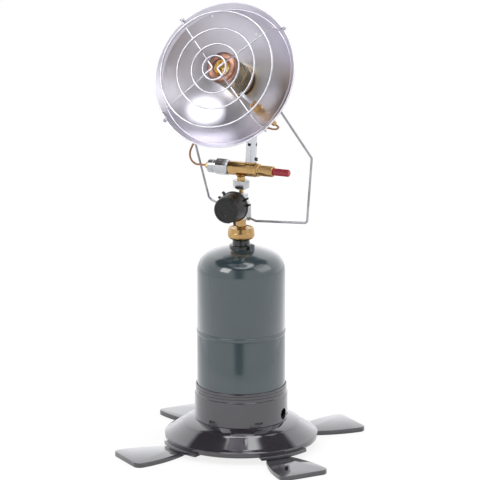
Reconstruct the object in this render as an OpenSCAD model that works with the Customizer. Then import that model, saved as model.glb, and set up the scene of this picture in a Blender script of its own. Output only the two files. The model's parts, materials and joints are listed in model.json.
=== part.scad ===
// Portable propane heater on a folding four-legged base: gas cylinder in a cup,
// regulator with knob, flame-failure safety valve with button, mixing tube,
// burner in a dish reflector, wire guard and carrying wire.
// Millimetres. The origin is on the cylinder's axis at the ground, +Z is up,
// the reflector and the knob face -Y and the red button points along +X.

/* [Base flange] */
// Largest radius of the flange, at the top of its band
flange_r = 86; // [84.5:0.5:87.5]
// Height of the flange's lower edge over the ground
flange_z = 8.1; // [8:0.1:8.5]
// Height of the upright band round the flange
flange_band = 6.5; // [5.5:0.5:7]
// Radius of the crease between the two slopes of the bell
crease_r = 66; // [63:0.5:68]
// Height of that crease over the ground
crease_z = 27.3; // [26.6:0.1:28.2]
// Radius of the flat seat on top of the bell
seat_r = 53; // [52.8:0.2:55]
// Height of the seat over the ground
seat_z = 32.1; // [31.6:0.1:33]
// Wall thickness of the bell
flange_wall = 2.5; // [2:0.1:3]
// Outer radius of the tube under the seat
hub_r = 43; // [41:0.5:44]
// Number of ribs under the bell
rib_count = 8; // [4:4:12]
// Radius of the outer edge of the four lugs that hold the legs
lug_r = 88.8; // [88:0.1:90]
// Thickness of the lugs
lug_t = 4.1; // [3.6:0.1:4.4]
// Angle from a leg's middle to the near end of its lug
lug_back = 14; // [10:1:16]
// Angle from a leg's middle to the far end of its lug
lug_ahead = 26; // [20:1:28]
// Radius of the screw boss over each leg
lug_boss_r = 8; // [6.5:0.5:9]

/* [Legs] */
// Direction of the first leg's middle line, from +X
leg_angle = -36.7; // [-45:0.1:-30]
// Thickness of a leg
leg_t = 5.4; // [5:0.1:5.6]
// Distance of a leg's pivot from the middle of the base
pivot_r = 76; // [75:0.5:77]
// Length of a leg from its pivot to its tip
leg_reach = 71.4; // [66:0.2:74]
// Half of a leg's width at the tip
leg_half = 29.6; // [27:0.2:30]
// Radius of the long curves down a leg's sides
leg_side_r = 140; // [130:1:160]
// Radius of the two corners of the tip
leg_corner_r = 8; // [5:0.5:10]
// Thickness of the top skin over the pockets in a leg
leg_skin = 2.5; // [2:0.1:3]
// Width of the rim and ribs round those pockets
leg_rim = 2.6; // [2:0.2:3.4]
// Radius of the pivot screws' shanks
pin_r = 2.5; // [2:0.1:2.8]
// Radius of their heads
pin_head_r = 5; // [4:0.2:5.4]
// Thickness of their heads
pin_head_t = 2; // [1.6:0.1:2.2]
// Height of the heads' undersides over the ground
pin_head_z = 0.8; // [0.5:0.1:1]

/* [Cylinder cup] */
// Outer radius of the cup's lower, thicker wall
cup_r = 52.2; // [51.8:0.1:52.6]
// Outer radius of its upper lip
lip_r = 51.1; // [50.8:0.1:51.4]
// Height of the thicker wall
cup_step = 29.4; // [26:0.2:31]
// Full height of the cup
cup_h = 39.3; // [36:0.1:42]
// Thickness of the cup's floor
cup_floor = 2.5; // [2:0.1:2.5]
// Height of the floor's underside over the seat
floor_gap = 1; // [0.8:0.1:1]
// Radius of the hole in the floor
floor_hole_r = 20; // [12:1:24]
// Number of snap tabs that hold the cup down
tab_count = 6; // [3:1:6]
// Direction of the first tab
tab_angle = -103.4; // [-106:0.1:-100]
// Width of the slots the tabs snap into
slot_w = 9; // [8.6:0.2:10]
// Height of those slots
slot_h = 2.2; // [2:0.1:2.6]
// Height of the slots' middle over the seat
slot_z = 5; // [4.8:0.1:5.2]
// Radius of the two round windows in the cup
window_r = 6.5; // [4:0.5:7]
// Height of their middle over the seat
window_z = 8.6; // [8:0.1:12]

/* [Gas cylinder] */
// Outer radius of the cylinder
cyl_r = 49.25; // [49:0.05:49.4]
// Height of the cylinder's body, foot to crown
cyl_h = 192.6; // [180:0.1:200]
// Wall thickness of the two shells
cyl_wall = 0.9; // [0.7:0.1:1.1]
// Radius of the crown's dome
crown_r = 90; // [80:1:100]
// Radius of the shoulder between dome and wall
shoulder_r = 22; // [18:1:26]
// Radius of the foot's curve
foot_r = 14; // [12:1:16]
// Height of the welded seam's middle over the foot
seam_h = 96.3; // [90:0.1:110]
// Height of the bead along the seam
bead_h = 5; // [4:0.5:6]
// How far the bead stands proud of the wall
bead_out = 0.55; // [0.3:0.05:0.6]
// Depth of the dome pressed up into the foot
punt_angle = 25; // [20:1:32]

/* [Cylinder valve] */
// Radius of the welded collar on the crown
collar_r = 13.2; // [12.8:0.1:13.6]
// Height of the collar's flange over the crown
collar_h = 2.1; // [1.8:0.1:2.6]
// Radius of the neck above the collar
neck_r = 9.6; // [9:0.1:10]
// Height of the neck's top over the crown
neck_h = 8.6; // [8.2:0.1:9]
// Crest radius of the valve's screw thread
boss_r = 12.3; // [12.1:0.1:12.4]
// Height of the threaded boss
boss_h = 9.4; // [9:0.1:10]
// Pitch of that thread
boss_pitch = 1.27; // [1.27:0.01:1.27]
// Radius of the gas bore
bore_r = 3.2; // [2.8:0.1:3.4]
// Distance of the relief valve from the cylinder's axis
relief_at = 17.6; // [17.2:0.1:20]
// Direction of the relief valve from +X
relief_angle = -22; // [-40:1:0]
// Radius of the relief valve
relief_r = 3; // [2.4:0.1:3.2]
// Height of the relief valve's top over the crown
relief_h = 5.1; // [4:0.1:6]

/* [Inlet coupling] */
// Largest radius of the brass coupling
coupling_r = 14.85; // [14.4:0.05:15.4]
// Radius of its chamfered top and bottom edges
coupling_edge_r = 13.6; // [13.2:0.1:14]
// Height of its lower edge over the crown
coupling_z = 9.8; // [9.6:0.1:10.4]
// Height of its top rim over the crown
coupling_top = 21.8; // [21.6:0.1:22.4]
// Radius of the stem that rises to the regulator
stem_r = 5.5; // [5:0.1:6]

/* [Regulator] */
// Height of the regulator's and the knob's axis over the crown
reg_h = 49.5; // [49:0.1:50.5]
// Radius of the regulator's drum
drum_r = 14; // [13.6:0.1:15]
// Front face of the drum, from the cylinder's axis
drum_front = -16.5; // [-17:0.1:-16]
// Back face of the drum, from the cylinder's axis
drum_back = -7.2; // [-8:0.1:-7]
// Place of the joint between the drum's two halves
drum_joint = -11.2; // [-11.6:0.1:-10.8]
// Radius of the upright column of the regulator's body
column_r = 7.5; // [7:0.1:8]
// Radius of the nose that holds the spring
nose_r = 8; // [7.6:0.1:8.6]
// Front end of that nose
nose_front = -26; // [-26.5:0.1:-25]
// Radius of the regulator's spring, to the wire's middle
reg_spring_r = 4.4; // [4:0.1:4.8]
// Radius of the screwed stem behind the knob
screw_r = 2.95; // [2.5:0.05:3]
// Radius of the outlet tail over the body
tail_r = 2.6; // [2.3:0.1:2.8]
// Circle round the corners of the hexagonal flare nut
flare_nut_r = 9.5; // [9:0.1:9.8]
// Height of the flare nut
flare_nut_h = 10.2; // [9.6:0.1:10.6]

/* [Knob] */
// Radius of the knob's front face
knob_front_r = 14; // [13.6:0.1:14.6]
// Radius of its back rim
knob_back_r = 17.2; // [16.6:0.1:17.8]
// Place of its front face, from the cylinder's axis
knob_front = -41.4; // [-43:0.1:-40]
// Place of its back rim
knob_back = -18; // [-18.4:0.1:-17.6]
// Wall thickness of the knob
knob_wall = 2.4; // [2:0.1:2.8]
// Radius of the ends of its six ears
ear_r = 20.6; // [19.6:0.2:22]
// Thickness of the ears
ear_t = 3; // [2:0.5:4]
// Angle of the middle of the first pair of ears, seen from the front
ear_angle = 22; // [18:1:26]
// Half the angle between the two ears of a pair
ear_spread = 11; // [9:1:13]

/* [Safety valve] */
// Height of the valve's axis over the crown
valve_h = 88.5; // [88:0.1:89.5]
// Distance across the valve body's eight flats
valve_flats = 14.6; // [14:0.1:15]
// Left end of the eight-sided body, from the cylinder's axis
valve_left = -14; // [-15:0.1:-13]
// Right end of the eight-sided body
valve_right = 20.4; // [19:0.1:22]
// Place of the valve's seat along the body
seat_x = 4; // [3.6:0.1:4.4]
// Radius of the hole in the seat
seat_hole_r = 3; // [2.6:0.1:3.2]
// Radius of the body's threaded end
thread_r = 6.9; // [6.6:0.1:7]
// Circle round the corners of the magnet's nut
magnet_nut_r = 9.6; // [9.2:0.1:10]
// Width of the magnet's nut
magnet_nut_w = 15.2; // [14:0.1:16]
// Radius of the magnet's housing
housing_r = 7.6; // [7.2:0.1:8]
// Left end of the magnet's housing
housing_left = -39.1; // [-40:0.1:-38]
// Radius of the magnet unit
magnet_r = 4.5; // [4:0.1:4.6]
// Radius of the brass gland on the lead
gland_r = 3.6; // [3.2:0.1:4]

/* [Button] */
// Radius of the sleeve's flange
sleeve_flange_r = 7.2; // [6.8:0.1:7.6]
// Radius of the sleeve
sleeve_r = 6.1; // [5.8:0.1:6.4]
// Right end of the sleeve, from the cylinder's axis
sleeve_end = 39.3; // [38.6:0.1:40]
// Radius of the red button
button_r = 4; // [3.8:0.1:4.2]
// Right end of the button
button_end = 58.4; // [57:0.1:60]
// Travel of the button
button_travel = 5; // [3:0.5:5]
// Radius of the push rod
rod_r = 1.5; // [1.2:0.1:1.6]
// Radius of the button's spring, to the wire's middle
button_spring_r = 2.9; // [2.7:0.1:3]

/* [Mixing tube] */
// Distance of the tube's foot from the cylinder's axis
tube_x = 11.7; // [11:0.1:12.5]
// Height of the tube's foot over the valve's axis
tube_foot = 7.5; // [7.4:0.1:7.8]
// Outer radius of the tube
tube_r = 6.08; // [5.8:0.02:6.3]
// Wall thickness of the tube
tube_wall = 1; // [0.8:0.1:1.2]
// Radius of the bend under the burner
bend_r = 18; // [15:0.5:20]
// Radius of the four air holes
air_r = 2; // [1.5:0.1:2.5]
// Height of the air holes over the tube's foot
air_h = 21.2; // [18:0.1:26]
// Radius of the jet holder's flange
jet_flange_r = 6.7; // [6.4:0.1:7]
// Radius of the bore that the jet holder stands in
jet_bore_r = 4.4; // [4.2:0.1:4.6]

/* [Head] */
// How far the head faces upward
tilt = 26; // [20:0.5:32]
// Place of the bend's corner behind the cylinder's axis
corner_y = 7.7; // [6:0.1:9]
// Height of the bend's corner over the valve's axis
corner_h = 88; // [85:0.5:92]

/* [Burner] */
// Distance from the bend's corner to the burner's front face
burner_out = 94.5; // [92:0.1:97]
// Outer radius of the burner's mesh tube
mesh_r = 16.6; // [16:0.1:17]
// Thickness of the mesh
mesh_t = 0.6; // [0.5:0.1:0.8]
// Number of mesh openings round the tube
mesh_round = 18; // [12:1:18]
// Number of rows of openings
mesh_rows = 12; // [6:1:12]
// Half of the diagonal of an opening
mesh_hole = 2.3; // [1.6:0.1:2.4]
// Outer radius of the copper ring
ring_r = 17.3; // [17:0.1:17.6]
// Radius of the copper ring's mouth
mouth_r = 9.2; // [9:0.1:9.6]
// Depth of the cup in the burner's mouth
cup_depth = 17; // [12:0.5:24]
// Radius of the burner's threaded root
root_r = 9; // [8.6:0.1:9.4]
// Reach of that root behind the bowl
root_back = 8.6; // [8.4:0.1:9.2]

/* [Reflector] */
// Outer radius of the reflector's lip
dish_r = 81.6; // [80:0.1:84]
// Radius of the bowl's edge inside the lip
bowl_edge = 77.9; // [77:0.1:78.6]
// Radius of the bowl's sphere
bowl_r = 91.5; // [90:0.5:94]
// Distance from the bend's corner to the rim's plane
rim_out = 83.8; // [83:0.1:84.4]
// How far the dish's middle lies below the burner's axis
dish_drop = 5.5; // [5:0.1:6]
// Sheet thickness of the reflector
dish_t = 0.8; // [0.6:0.1:1]
// Radius of the two small holes in the reflector
pinhole_r = 1.4; // [1:0.1:1.6]

/* [Thermocouple] */
// Place of the thermocouple to the side of the dish's middle
thermo_a = 31; // [29:0.5:33]
// Place of the thermocouple below the dish's middle
thermo_b = -26; // [-28:0.5:-24]
// Radius of its sheath
sheath_r = 1.9; // [1.6:0.1:2.1]
// Reach of the sheath into the bowl
sheath_in = 32; // [30:0.5:33]
// Reach of the sheath behind the bowl
sheath_back = 29; // [27:0.5:30]
// Radius of the copper lead
lead_r = 1.1; // [0.9:0.1:1.2]
// Reach of the lead's loop to the left of the cylinder's axis
lead_left = 61.6; // [60:0.1:64]
// Distance of the lead's upper end before the cylinder's axis
lead_front = 21.5; // [20:0.1:23]
// Height of the lead's upper end over the valve's axis
lead_rise = 55.9; // [54:0.1:58]

/* [Guard] */
// Radius of the guard's wires
guard_r = 1; // [0.9:0.05:1.1]
// Radius of the smallest ring
ring_1_r = 13.4; // [13:0.1:14]
// Radius of the second ring
ring_2_r = 27.3; // [26.6:0.1:28.4]
// Radius of the third ring
ring_3_r = 44.8; // [43.6:0.1:46.4]
// Radius of the largest ring
ring_4_r = 64.6; // [63:0.1:66]
// Height of the smallest ring over the rim's plane
ring_1_out = 28.2; // [27.6:0.1:29]
// Height of the second ring over the rim's plane
ring_2_out = 25.4; // [24.8:0.1:26]
// Height of the third ring over the rim's plane
ring_3_out = 24.2; // [23.6:0.1:24.8]
// Height of the largest ring over the rim's plane
ring_4_out = 22.6; // [22:0.1:23]
// Angle of the crossed wires' arms from level
arm_angle = 45; // [43:0.5:47]
// Distance of each wire's middle bend from the guard's middle
arm_gap = 2.6; // [2.2:0.1:4]

/* [Handle] */
// Radius of the carrying wire
handle_r = 1.3; // [1.2:0.1:1.5]
// Place of the wire's plane behind the cylinder's axis
handle_y = 12; // [11.9:0.1:12.2]
// Distance of the wire's upper right corner from the cylinder's axis
handle_right = 79.8; // [78:0.1:82]
// Height of that corner over the valve's axis
handle_right_h = 16.6; // [15:0.1:18]
// Distance of its lower right corner from the cylinder's axis
handle_foot = 74.4; // [72:0.1:76]
// Height of that corner over the crown
handle_foot_h = 31.4; // [30:0.1:33]
// Distance of the bend beside the clamp from the cylinder's axis
handle_bend = 12.6; // [11:0.1:14]
// Height of that bend over the crown
handle_bend_h = 27.5; // [27:0.1:28]
// Distance of its lower left corner from the cylinder's axis
handle_heel = 44.9; // [43:0.1:47]
// Height of that corner over the crown
handle_heel_h = 49; // [48:0.1:50]
// Distance of its upper left corner from the cylinder's axis
handle_left = 63.3; // [62:0.1:65]
// Height of that corner over the valve's axis
handle_left_h = 27.6; // [26:0.1:29]
// Distance of the bracket's two eyes from the burner's axis
bracket_half = 24; // [23:0.5:26]
// Thickness of the strap that clamps the wire
strap_t = 4.2; // [4:0.1:5]

/* [Fits] */
// Gap round parts that turn or slide
running = 0.05; // [0.03:0.01:0.08]
// Gap round parts that are screwed or pressed together
seated = 0.02; // [0.01:0.01:0.03]

/* [Hidden] */
$fn = 72;

// Colours of the materials
black_plastic = [0.08, 0.075, 0.08];
green_paint = [0.10, 0.17, 0.16];
brass = [0.78, 0.60, 0.30];
copper = [0.72, 0.42, 0.26];
zinc = [0.72, 0.72, 0.72];
steel = [0.80, 0.80, 0.80];
bright_sheet = [0.76, 0.75, 0.80];
rubber = [0.12, 0.12, 0.12];
button_red = [0.72, 0.10, 0.14];
dark_mesh = [0.22, 0.20, 0.17];

// Heights of the main parts over the ground
cyl_z = seat_z + floor_gap + cup_floor + 0.3;
crown_z = cyl_z + cyl_h;
seam_z = cyl_z + seam_h;
neck_top = crown_z + neck_h;
boss_top = neck_top + boss_h;
reg_z = crown_z + reg_h;
valve_z = crown_z + valve_h;
tube_z = valve_z + tube_foot;

// The drum's column, from its foot to the outlet
column_foot = reg_z - 17.5;
column_top = reg_z + 10.6;
flare_z = valve_z - 12.7;

// The mixing tube leans back to the bend's corner
corner_z = valve_z + corner_h;
lean = atan2(corner_y, corner_z - tube_z);
tube_len = norm([corner_y, corner_z - tube_z]);
bend_angle = 90 - tilt + lean;
bend_in = bend_r * tan(bend_angle / 2);

// The bowl's sphere seen from the bend's corner
bowl_mid = rim_out - 1 + sqrt(bowl_r * bowl_r - bowl_edge * bowl_edge);
bowl_root = bowl_mid - bowl_r;
flange_face = bowl_mid - sqrt(pow(bowl_r, 2) - pow(dish_drop + mesh_r + 0.4, 2)) + 0.6;
hub_face = bowl_mid - sqrt(pow(bowl_r, 2) - pow(dish_drop + root_r + 1.6, 2)) + 0.3;
mesh_foot = flange_face + 2;
bracket_z = bowl_root - dish_t - 1.56;

// Points on an arc round [x, y], from angle a to angle b
function arc(x, y, r, a, b, n = 12) =
    [for (i = [0 : n]) [x + r * cos(a + (b - a) * i / n), y + r * sin(a + (b - a) * i / n)]];

function unit(v) = v / norm(v);

// Frames carried along a path with the least twist
function carry(p, i, u) = i == len(p) ? [] :
    let(t = unit(p[min(i + 1, len(p) - 1)] - p[max(i - 1, 0)]), w = unit(u - (u * t) * t))
    concat([[w, cross(t, w)]], carry(p, i + 1, w));

// Points that round the corner b on the way from a to c
function corner(a, b, c, r, n) =
    let(u = unit(a - b), v = unit(c - b), h = acos(u * v) / 2,
        o = b + unit(u + v) * (r / sin(h)),
        e = unit(b + u * (r / tan(h)) - o), g = unit(b + v * (r / tan(h)) - o), s = 180 - 2 * h)
    [for (i = [0 : n]) o + r * (sin((1 - i / n) * s) * e + sin(i / n * s) * g) / sin(s)];

// A path with every inner corner rounded
function rounded(p, r, n = 6) = concat([p[0]],
    [for (i = [1 : len(p) - 2]) each corner(p[i - 1], p[i], p[i + 1], r, n)], [p[len(p) - 1]]);

// Smooth curve through all the points of a path
function curve(p, n = 6) = concat([for (i = [0 : len(p) - 2], k = [0 : n - 1])
    let(a = p[max(i - 1, 0)], b = p[i], c = p[i + 1], d = p[min(i + 2, len(p) - 1)], t = k / n)
    0.5 * (2 * b + (c - a) * t + (2 * a - 5 * b + 4 * c - d) * t * t
        + (3 * b - a - 3 * c + d) * t * t * t)], [p[len(p) - 1]]);

// Round wire of radius r along the path p, u is a direction across its start
module wire(p, r, u, n = 12) {
    f = carry(p, 0, u);
    m = (len(p) - 1) * n;
    polyhedron(
        points = [for (i = [0 : len(p) - 1], k = [0 : n - 1])
            p[i] + r * (cos(k * 360 / n) * f[i][0] + sin(k * 360 / n) * f[i][1])],
        faces = concat([[for (k = [0 : n - 1]) k]], [[for (k = [n - 1 : -1 : 0]) m + k]],
            [for (i = [0 : len(p) - 2], k = [0 : n - 1])
                [i * n + k, (i + 1) * n + k, (i + 1) * n + (k + 1) % n]],
            [for (i = [0 : len(p) - 2], k = [0 : n - 1])
                [i * n + k, (i + 1) * n + (k + 1) % n, i * n + (k + 1) % n]]),
        convexity = 8);
}

// Helix as a path along +Z, with closed flat ends
function helix(r, z0, z1, turns, n = 14) = [for (i = [0 : turns * n])
    let(q = i / (turns * n)) [r * cos(360 * turns * q), r * sin(360 * turns * q), z0 + (z1 - z0) * q]];

// Frames: a part drawn along +Z is laid along +X, -Y, up the tube or out of the head
module along_x(x) translate([x, 0, valve_z]) rotate([0, 90, 0]) children();
module to_front(y) translate([0, y, reg_z]) rotate([90, 0, 0]) children();
module up_tube() translate([tube_x, 0, tube_z]) rotate([-lean, 0, 0]) children();
module out_head() translate([tube_x, corner_y, corner_z]) rotate([90 - tilt, 0, 0]) children();
module in_dish() out_head() translate([0, -dish_drop, 0]) children();

// A point given in the head's frame, as a point of the whole
function head_point(a, b, s) = [tube_x + a,
    corner_y + b * sin(tilt) - s * cos(tilt), corner_z + b * cos(tilt) + s * sin(tilt)];
function head_way(a, b, s) = head_point(a, b, s) - head_point(0, 0, 0);

// ---------------------------------------------------------------- base

// Outer surface of the bell, from the band's lower edge up to the seat
bell_foot = [flange_r - 3, flange_z + flange_band + 1.1];
bell_crease = [crease_r, crease_z];
bell = [[flange_r - 1.6, flange_z], [flange_r - 0.5, flange_z + 1.8],
    [flange_r, flange_z + flange_band - 1], [flange_r - 0.5, flange_z + flange_band],
    each [for (i = [0 : 4]) bell_foot + (bell_crease - bell_foot) * i / 4],
    [crease_r - 4.6, crease_z + 2.3], [crease_r - 9.4, crease_z + 3.9],
    [seat_r, seat_z]];

// The bell's outline moved down by t, without the band
function lowered(t) = [for (i = [len(bell) - 1 : -1 : 4]) bell[i] - [t * 0.35, t]];

module bell_shell() {
    rotate_extrude() polygon(concat(bell, [[hub_r - 3, seat_z], [hub_r - 3, flange_z + 1.8],
        [hub_r, flange_z + 1.8], [hub_r, seat_z - flange_wall]], lowered(flange_wall),
        [[flange_r - 3.1, flange_z + flange_band - 2], [flange_r - 3.9, flange_z]]));
}

// Everything below the middle of the bell's wall
module under_bell() {
    rotate_extrude() polygon(concat([[0, 0], [0, seat_z - flange_wall / 2],
        [seat_r - 1, seat_z - flange_wall / 2]], lowered(flange_wall / 2),
        [[flange_r - 2.4, flange_z + flange_band - 2], [flange_r - 2.4, 0]]));
}

module at_legs() for (k = [0 : 3]) rotate([0, 0, leg_angle + 90 * k]) children();

// Height of the pivot screws' upper ends
pin_top = flange_z + flange_band + 2.8;

module base_flange() {
    lug_z = leg_t + 0.2;
    color(black_plastic) difference() {
        union() {
            bell_shell();
            intersection() {
                under_bell();
                union() {
                    at_legs() translate([pivot_r, 0, lug_z + 1]) cylinder(r = lug_boss_r, h = seat_z);
                    for (k = [0 : rib_count - 1])
                        rotate([0, 0, leg_angle + 45 + 360 / rib_count * k])
                            translate([hub_r - 1, -1, flange_z + 1.8])
                                cube([flange_r - hub_r - 1, 2, seat_z]);
                }
            }
            at_legs() rotate([0, 0, -lug_back]) rotate_extrude(angle = lug_back + lug_ahead)
                translate([pivot_r - lug_boss_r - 1, lug_z])
                    square([lug_r - pivot_r + lug_boss_r + 1, lug_t]);
            for (k = [0 : tab_count - 1]) rotate([0, 0, tab_angle + 360 / tab_count * k - 4.2])
                rotate_extrude(angle = 8.4) snap_tab();
        }
        at_legs() translate([pivot_r, 0, lug_z - 1])
            cylinder(r = pin_r + seated, h = pin_top + 0.4 - lug_z + 1);
    }
}

// Half section of a snap tab with its nose in the cup's slot
module snap_tab() {
    s = seat_z + slot_z;
    polygon([[46.9, seat_z - 1.5], [49.2, seat_z - 1.5], [49.2, s - slot_h / 2 + 0.1],
        [51.2, s - slot_h / 2 + 0.3], [51.2, s], [49.2, s + slot_h / 2 + 0.6], [46.9, s + slot_h]]);
}

module cylinder_cup() {
    inner = cyl_r + 0.4;
    f = seat_z + floor_gap;
    color(black_plastic) difference() {
        rotate_extrude() polygon([[floor_hole_r, f], [inner - 2.4, f], [inner - 1.6, seat_z],
            [cup_r - 0.4, seat_z], [cup_r, seat_z + 0.6], [cup_r, seat_z + cup_step - 1],
            [cup_r - 0.4, seat_z + cup_step], [lip_r, seat_z + cup_step + 0.2],
            [lip_r, seat_z + cup_h - 3.2], [lip_r - 0.4, seat_z + cup_h - 2.8],
            [lip_r, seat_z + cup_h - 2.4], [lip_r, seat_z + cup_h - 0.5],
            [lip_r - 0.5, seat_z + cup_h], [inner + 0.3, seat_z + cup_h],
            [inner, seat_z + cup_h - 0.8], [inner, f + cup_floor], [floor_hole_r, f + cup_floor]]);
        for (k = [0 : tab_count - 1]) rotate([0, 0, tab_angle + 360 / tab_count * k]) {
            rotate([0, 0, -5.5]) rotate_extrude(angle = 11)
                translate([46.3, seat_z - 1]) square([inner - 45.9, cup_floor + 3]);
            translate([inner - 1, -slot_w / 2, seat_z + slot_z - slot_h / 2])
                cube([5, slot_w, slot_h]);
        }
        for (a = [0, 180]) rotate([0, 0, a]) translate([inner - 1.2, 0, seat_z + window_z])
            rotate([0, 90, 0]) cylinder(r = window_r, h = 6);
    }
}

// ---------------------------------------------------------------- legs

// A leg's outline drawn in by i, with the pivot at the origin and the tip toward +X
function leg_outline(i) =
    let(cx = leg_reach, cy = leg_side_r - leg_half,
        pr = leg_side_r - norm([cx, cy]) - i, pa = atan2(cy, -cx),
        kr = leg_side_r - leg_corner_r, kx = leg_reach - leg_corner_r,
        ky = sqrt(kr * kr - pow(cx - kx, 2)) - cy, ka = atan2(ky + cy, kx - cx))
    concat(arc(0, 0, pr, pa, 360 - pa, 16),
        arc(cx, cy, leg_side_r - i, 360 - pa, 360 - ka, 20),
        arc(kx, -ky, leg_corner_r - i, -ka, 0, 8), arc(kx, ky, leg_corner_r - i, 0, ka, 8),
        arc(cx, -cy, leg_side_r - i, ka, pa, 20));

module leg(k) {
    depth = leg_t - leg_skin;
    first = pin_head_r + 3.6;
    color(black_plastic) rotate([0, 0, leg_angle + 90 * k]) translate([pivot_r, 0, 0])
        difference() {
            linear_extrude(leg_t) polygon(leg_outline(0));
            intersection() {
                translate([0, 0, -1]) linear_extrude(depth + 1) polygon(leg_outline(leg_rim));
                union() for (x = [first, first + 30], s = [-1, 1])
                    translate([x, s < 0 ? -40 : leg_rim / 2, -2])
                        cube([x > first ? 60 : 30 - leg_rim, 40 - leg_rim / 2, leg_t + 2]);
            }
            translate([0, 0, -1]) cylinder(r = pin_r + running, h = leg_t + 2);
            translate([0, 0, -1])
                cylinder(r = pin_head_r + 0.3, h = pin_head_z + pin_head_t + 1.1);
        }
}

module leg_1() leg(0);
module leg_2() leg(1);
module leg_3() leg(2);
module leg_4() leg(3);

module leg_pins() {
    color(steel) at_legs() translate([pivot_r, 0, pin_head_z]) difference() {
        union() {
            cylinder(r = pin_head_r, h = pin_head_t);
            cylinder(r = pin_r, h = pin_top - pin_head_z);
        }
        for (a = [0, 90]) rotate([0, 0, a]) translate([-2.4, -0.45, -1]) cube([4.8, 0.9, 2.2]);
    }
}

// ---------------------------------------------------------------- gas cylinder

// Angle at which the shoulder meets the crown's dome
meet = acos((cyl_r - shoulder_r) / (crown_r - shoulder_r));
crown_mid = crown_z - crown_r;
shoulder_mid = crown_mid + (crown_r - shoulder_r) * sin(meet);
function crown_at(r) = crown_mid + sqrt(crown_r * crown_r - r * r);

// Outline from the wall over the shoulder to the hole in the crown, drawn in by i
function crown_line(i) = concat(arc(cyl_r - shoulder_r, shoulder_mid, shoulder_r - i, 0, meet, 14),
    [for (k = [1 : 8]) let(a = meet + (acos((neck_r - 0.6) / (crown_r - i)) - meet) * k / 8)
        [(crown_r - i) * cos(a), crown_mid + (crown_r - i) * sin(a)]]);

module cylinder_upper_shell() {
    low = seam_z - bead_h / 2;
    inside = crown_line(cyl_wall);
    color(green_paint) difference() {
        rotate_extrude() polygon(concat([[cyl_r - cyl_wall, low], [cyl_r + 0.1, low],
            [cyl_r + bead_out, low + 0.7], [cyl_r + bead_out, low + bead_h - 1.2],
            [cyl_r, low + bead_h]], crown_line(0),
            [for (i = [len(inside) - 1 : -1 : 0]) inside[i]]));
        rotate([0, 0, relief_angle]) translate([relief_at, 0, crown_z - 12])
            cylinder(r = relief_r + seated, h = 20);
    }
}

// Outline of the foot from the wall to the middle, drawn in by i
function foot_line(i) =
    let(x = cyl_r - foot_r, z = cyl_z + foot_r, e = 270 - punt_angle,
        px = x + foot_r * cos(e), pz = z + foot_r * sin(e), pr = px / sin(punt_angle))
    concat(arc(x, z, foot_r - i, 0, -90, 12), arc(x, z, foot_r - i, -90, -90 - punt_angle, 4),
        arc(0, pz - pr * cos(punt_angle), pr + i, 90 - punt_angle, 90, 8));

module cylinder_lower_shell() {
    top = seam_z + bead_h / 2 + 2;
    step = seam_z - bead_h / 2;
    inside = foot_line(cyl_wall);
    color(green_paint) rotate_extrude() polygon(concat(
        [[cyl_r - cyl_wall - seated, top], [cyl_r - cyl_wall - seated, step - 0.1],
            [cyl_r, step - 1.2]], foot_line(0), [for (i = [len(inside) - 1 : -1 : 0]) inside[i]],
        [[cyl_r - cyl_wall, step - 1.8], [cyl_r - 2 * cyl_wall - seated, step - 0.4],
            [cyl_r - 2 * cyl_wall - seated, top]]));
}

module cylinder_collar() {
    color(green_paint) rotate_extrude() polygon(concat([[bore_r + 2.8, crown_z - 2.4],
        [neck_r - 0.65, crown_z - 2.4]],
        [for (r = [neck_r - 0.65, 11, collar_r]) [r, crown_at(r) + seated]],
        [[collar_r, crown_z + collar_h - 0.6], [collar_r - 0.6, crown_z + collar_h],
            [neck_r + 0.8, crown_z + collar_h], [neck_r, crown_z + collar_h + 0.8],
            [neck_r, neck_top], [bore_r + 2.8, neck_top]]));
}

module valve_boss() {
    turns = floor((boss_h - 3) / boss_pitch);
    color(brass) rotate_extrude() polygon(concat(
        [[bore_r, neck_top - 10], [bore_r + 2.8 - seated, neck_top - 10],
            [bore_r + 2.8 - seated, neck_top], [neck_r + 0.4, neck_top],
            [boss_r, neck_top + 1.7], [boss_r, neck_top + 2.2]],
        [for (i = [0 : turns - 1], k = [0, 1])
            [boss_r - 0.55 * (1 - k), neck_top + 2.2 + (i + 0.5 + k * 0.5) * boss_pitch]],
        [[boss_r - 0.9, boss_top], [bore_r + 3.6, boss_top], [bore_r + 3.6, boss_top - 1.4],
            [bore_r, boss_top - 1.4]]));
}

module valve_core() {
    color(steel) rotate_extrude() polygon([[0, neck_top - 7], [2.2, neck_top - 7],
        [bore_r - seated, neck_top - 5.4], [bore_r - seated, boss_top - 4.6], [2, boss_top - 4.2],
        [1.1, boss_top - 4], [1.1, boss_top - 1.6], [0, boss_top - 1.6]]);
}

module relief_valve() {
    color(green_paint) rotate([0, 0, relief_angle]) translate([relief_at, 0, crown_z])
        difference() {
            union() {
                translate([0, 0, -7]) cylinder(r = relief_r, h = relief_h + 6.4);
                translate([0, 0, relief_h - 0.6]) cylinder(r1 = relief_r, r2 = relief_r - 0.5, h = 0.6);
            }
            translate([0, 0, relief_h - 2]) cylinder(r = 1.4, h = 3);
        }
}

// ---------------------------------------------------------------- inlet coupling

module inlet_coupling() {
    low = crown_z + coupling_z;
    top = crown_z + coupling_top;
    roof = boss_top + 1.3;
    color(brass) rotate_extrude() polygon([[boss_r + running, low], [coupling_edge_r, low],
        [coupling_r, low + 1.9], [coupling_r, low + 6.6], [coupling_edge_r + 0.4, top - 1.6],
        [coupling_edge_r, top], [coupling_edge_r - 1.3, top], [coupling_edge_r - 2, top - 0.9],
        [stem_r + 2, top - 0.9], [stem_r, top + 0.4], [stem_r, column_foot + 3],
        [2.2, column_foot + 3], [2.2, roof + 2.2], [3.6, roof + 0.8], [3.6, roof],
        [boss_r + running, roof]]);
}

module inlet_seal() {
    color(rubber) rotate_extrude() translate([bore_r + 3.8, boss_top + 0.04])
        square([4.6, 1.22]);
}

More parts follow.
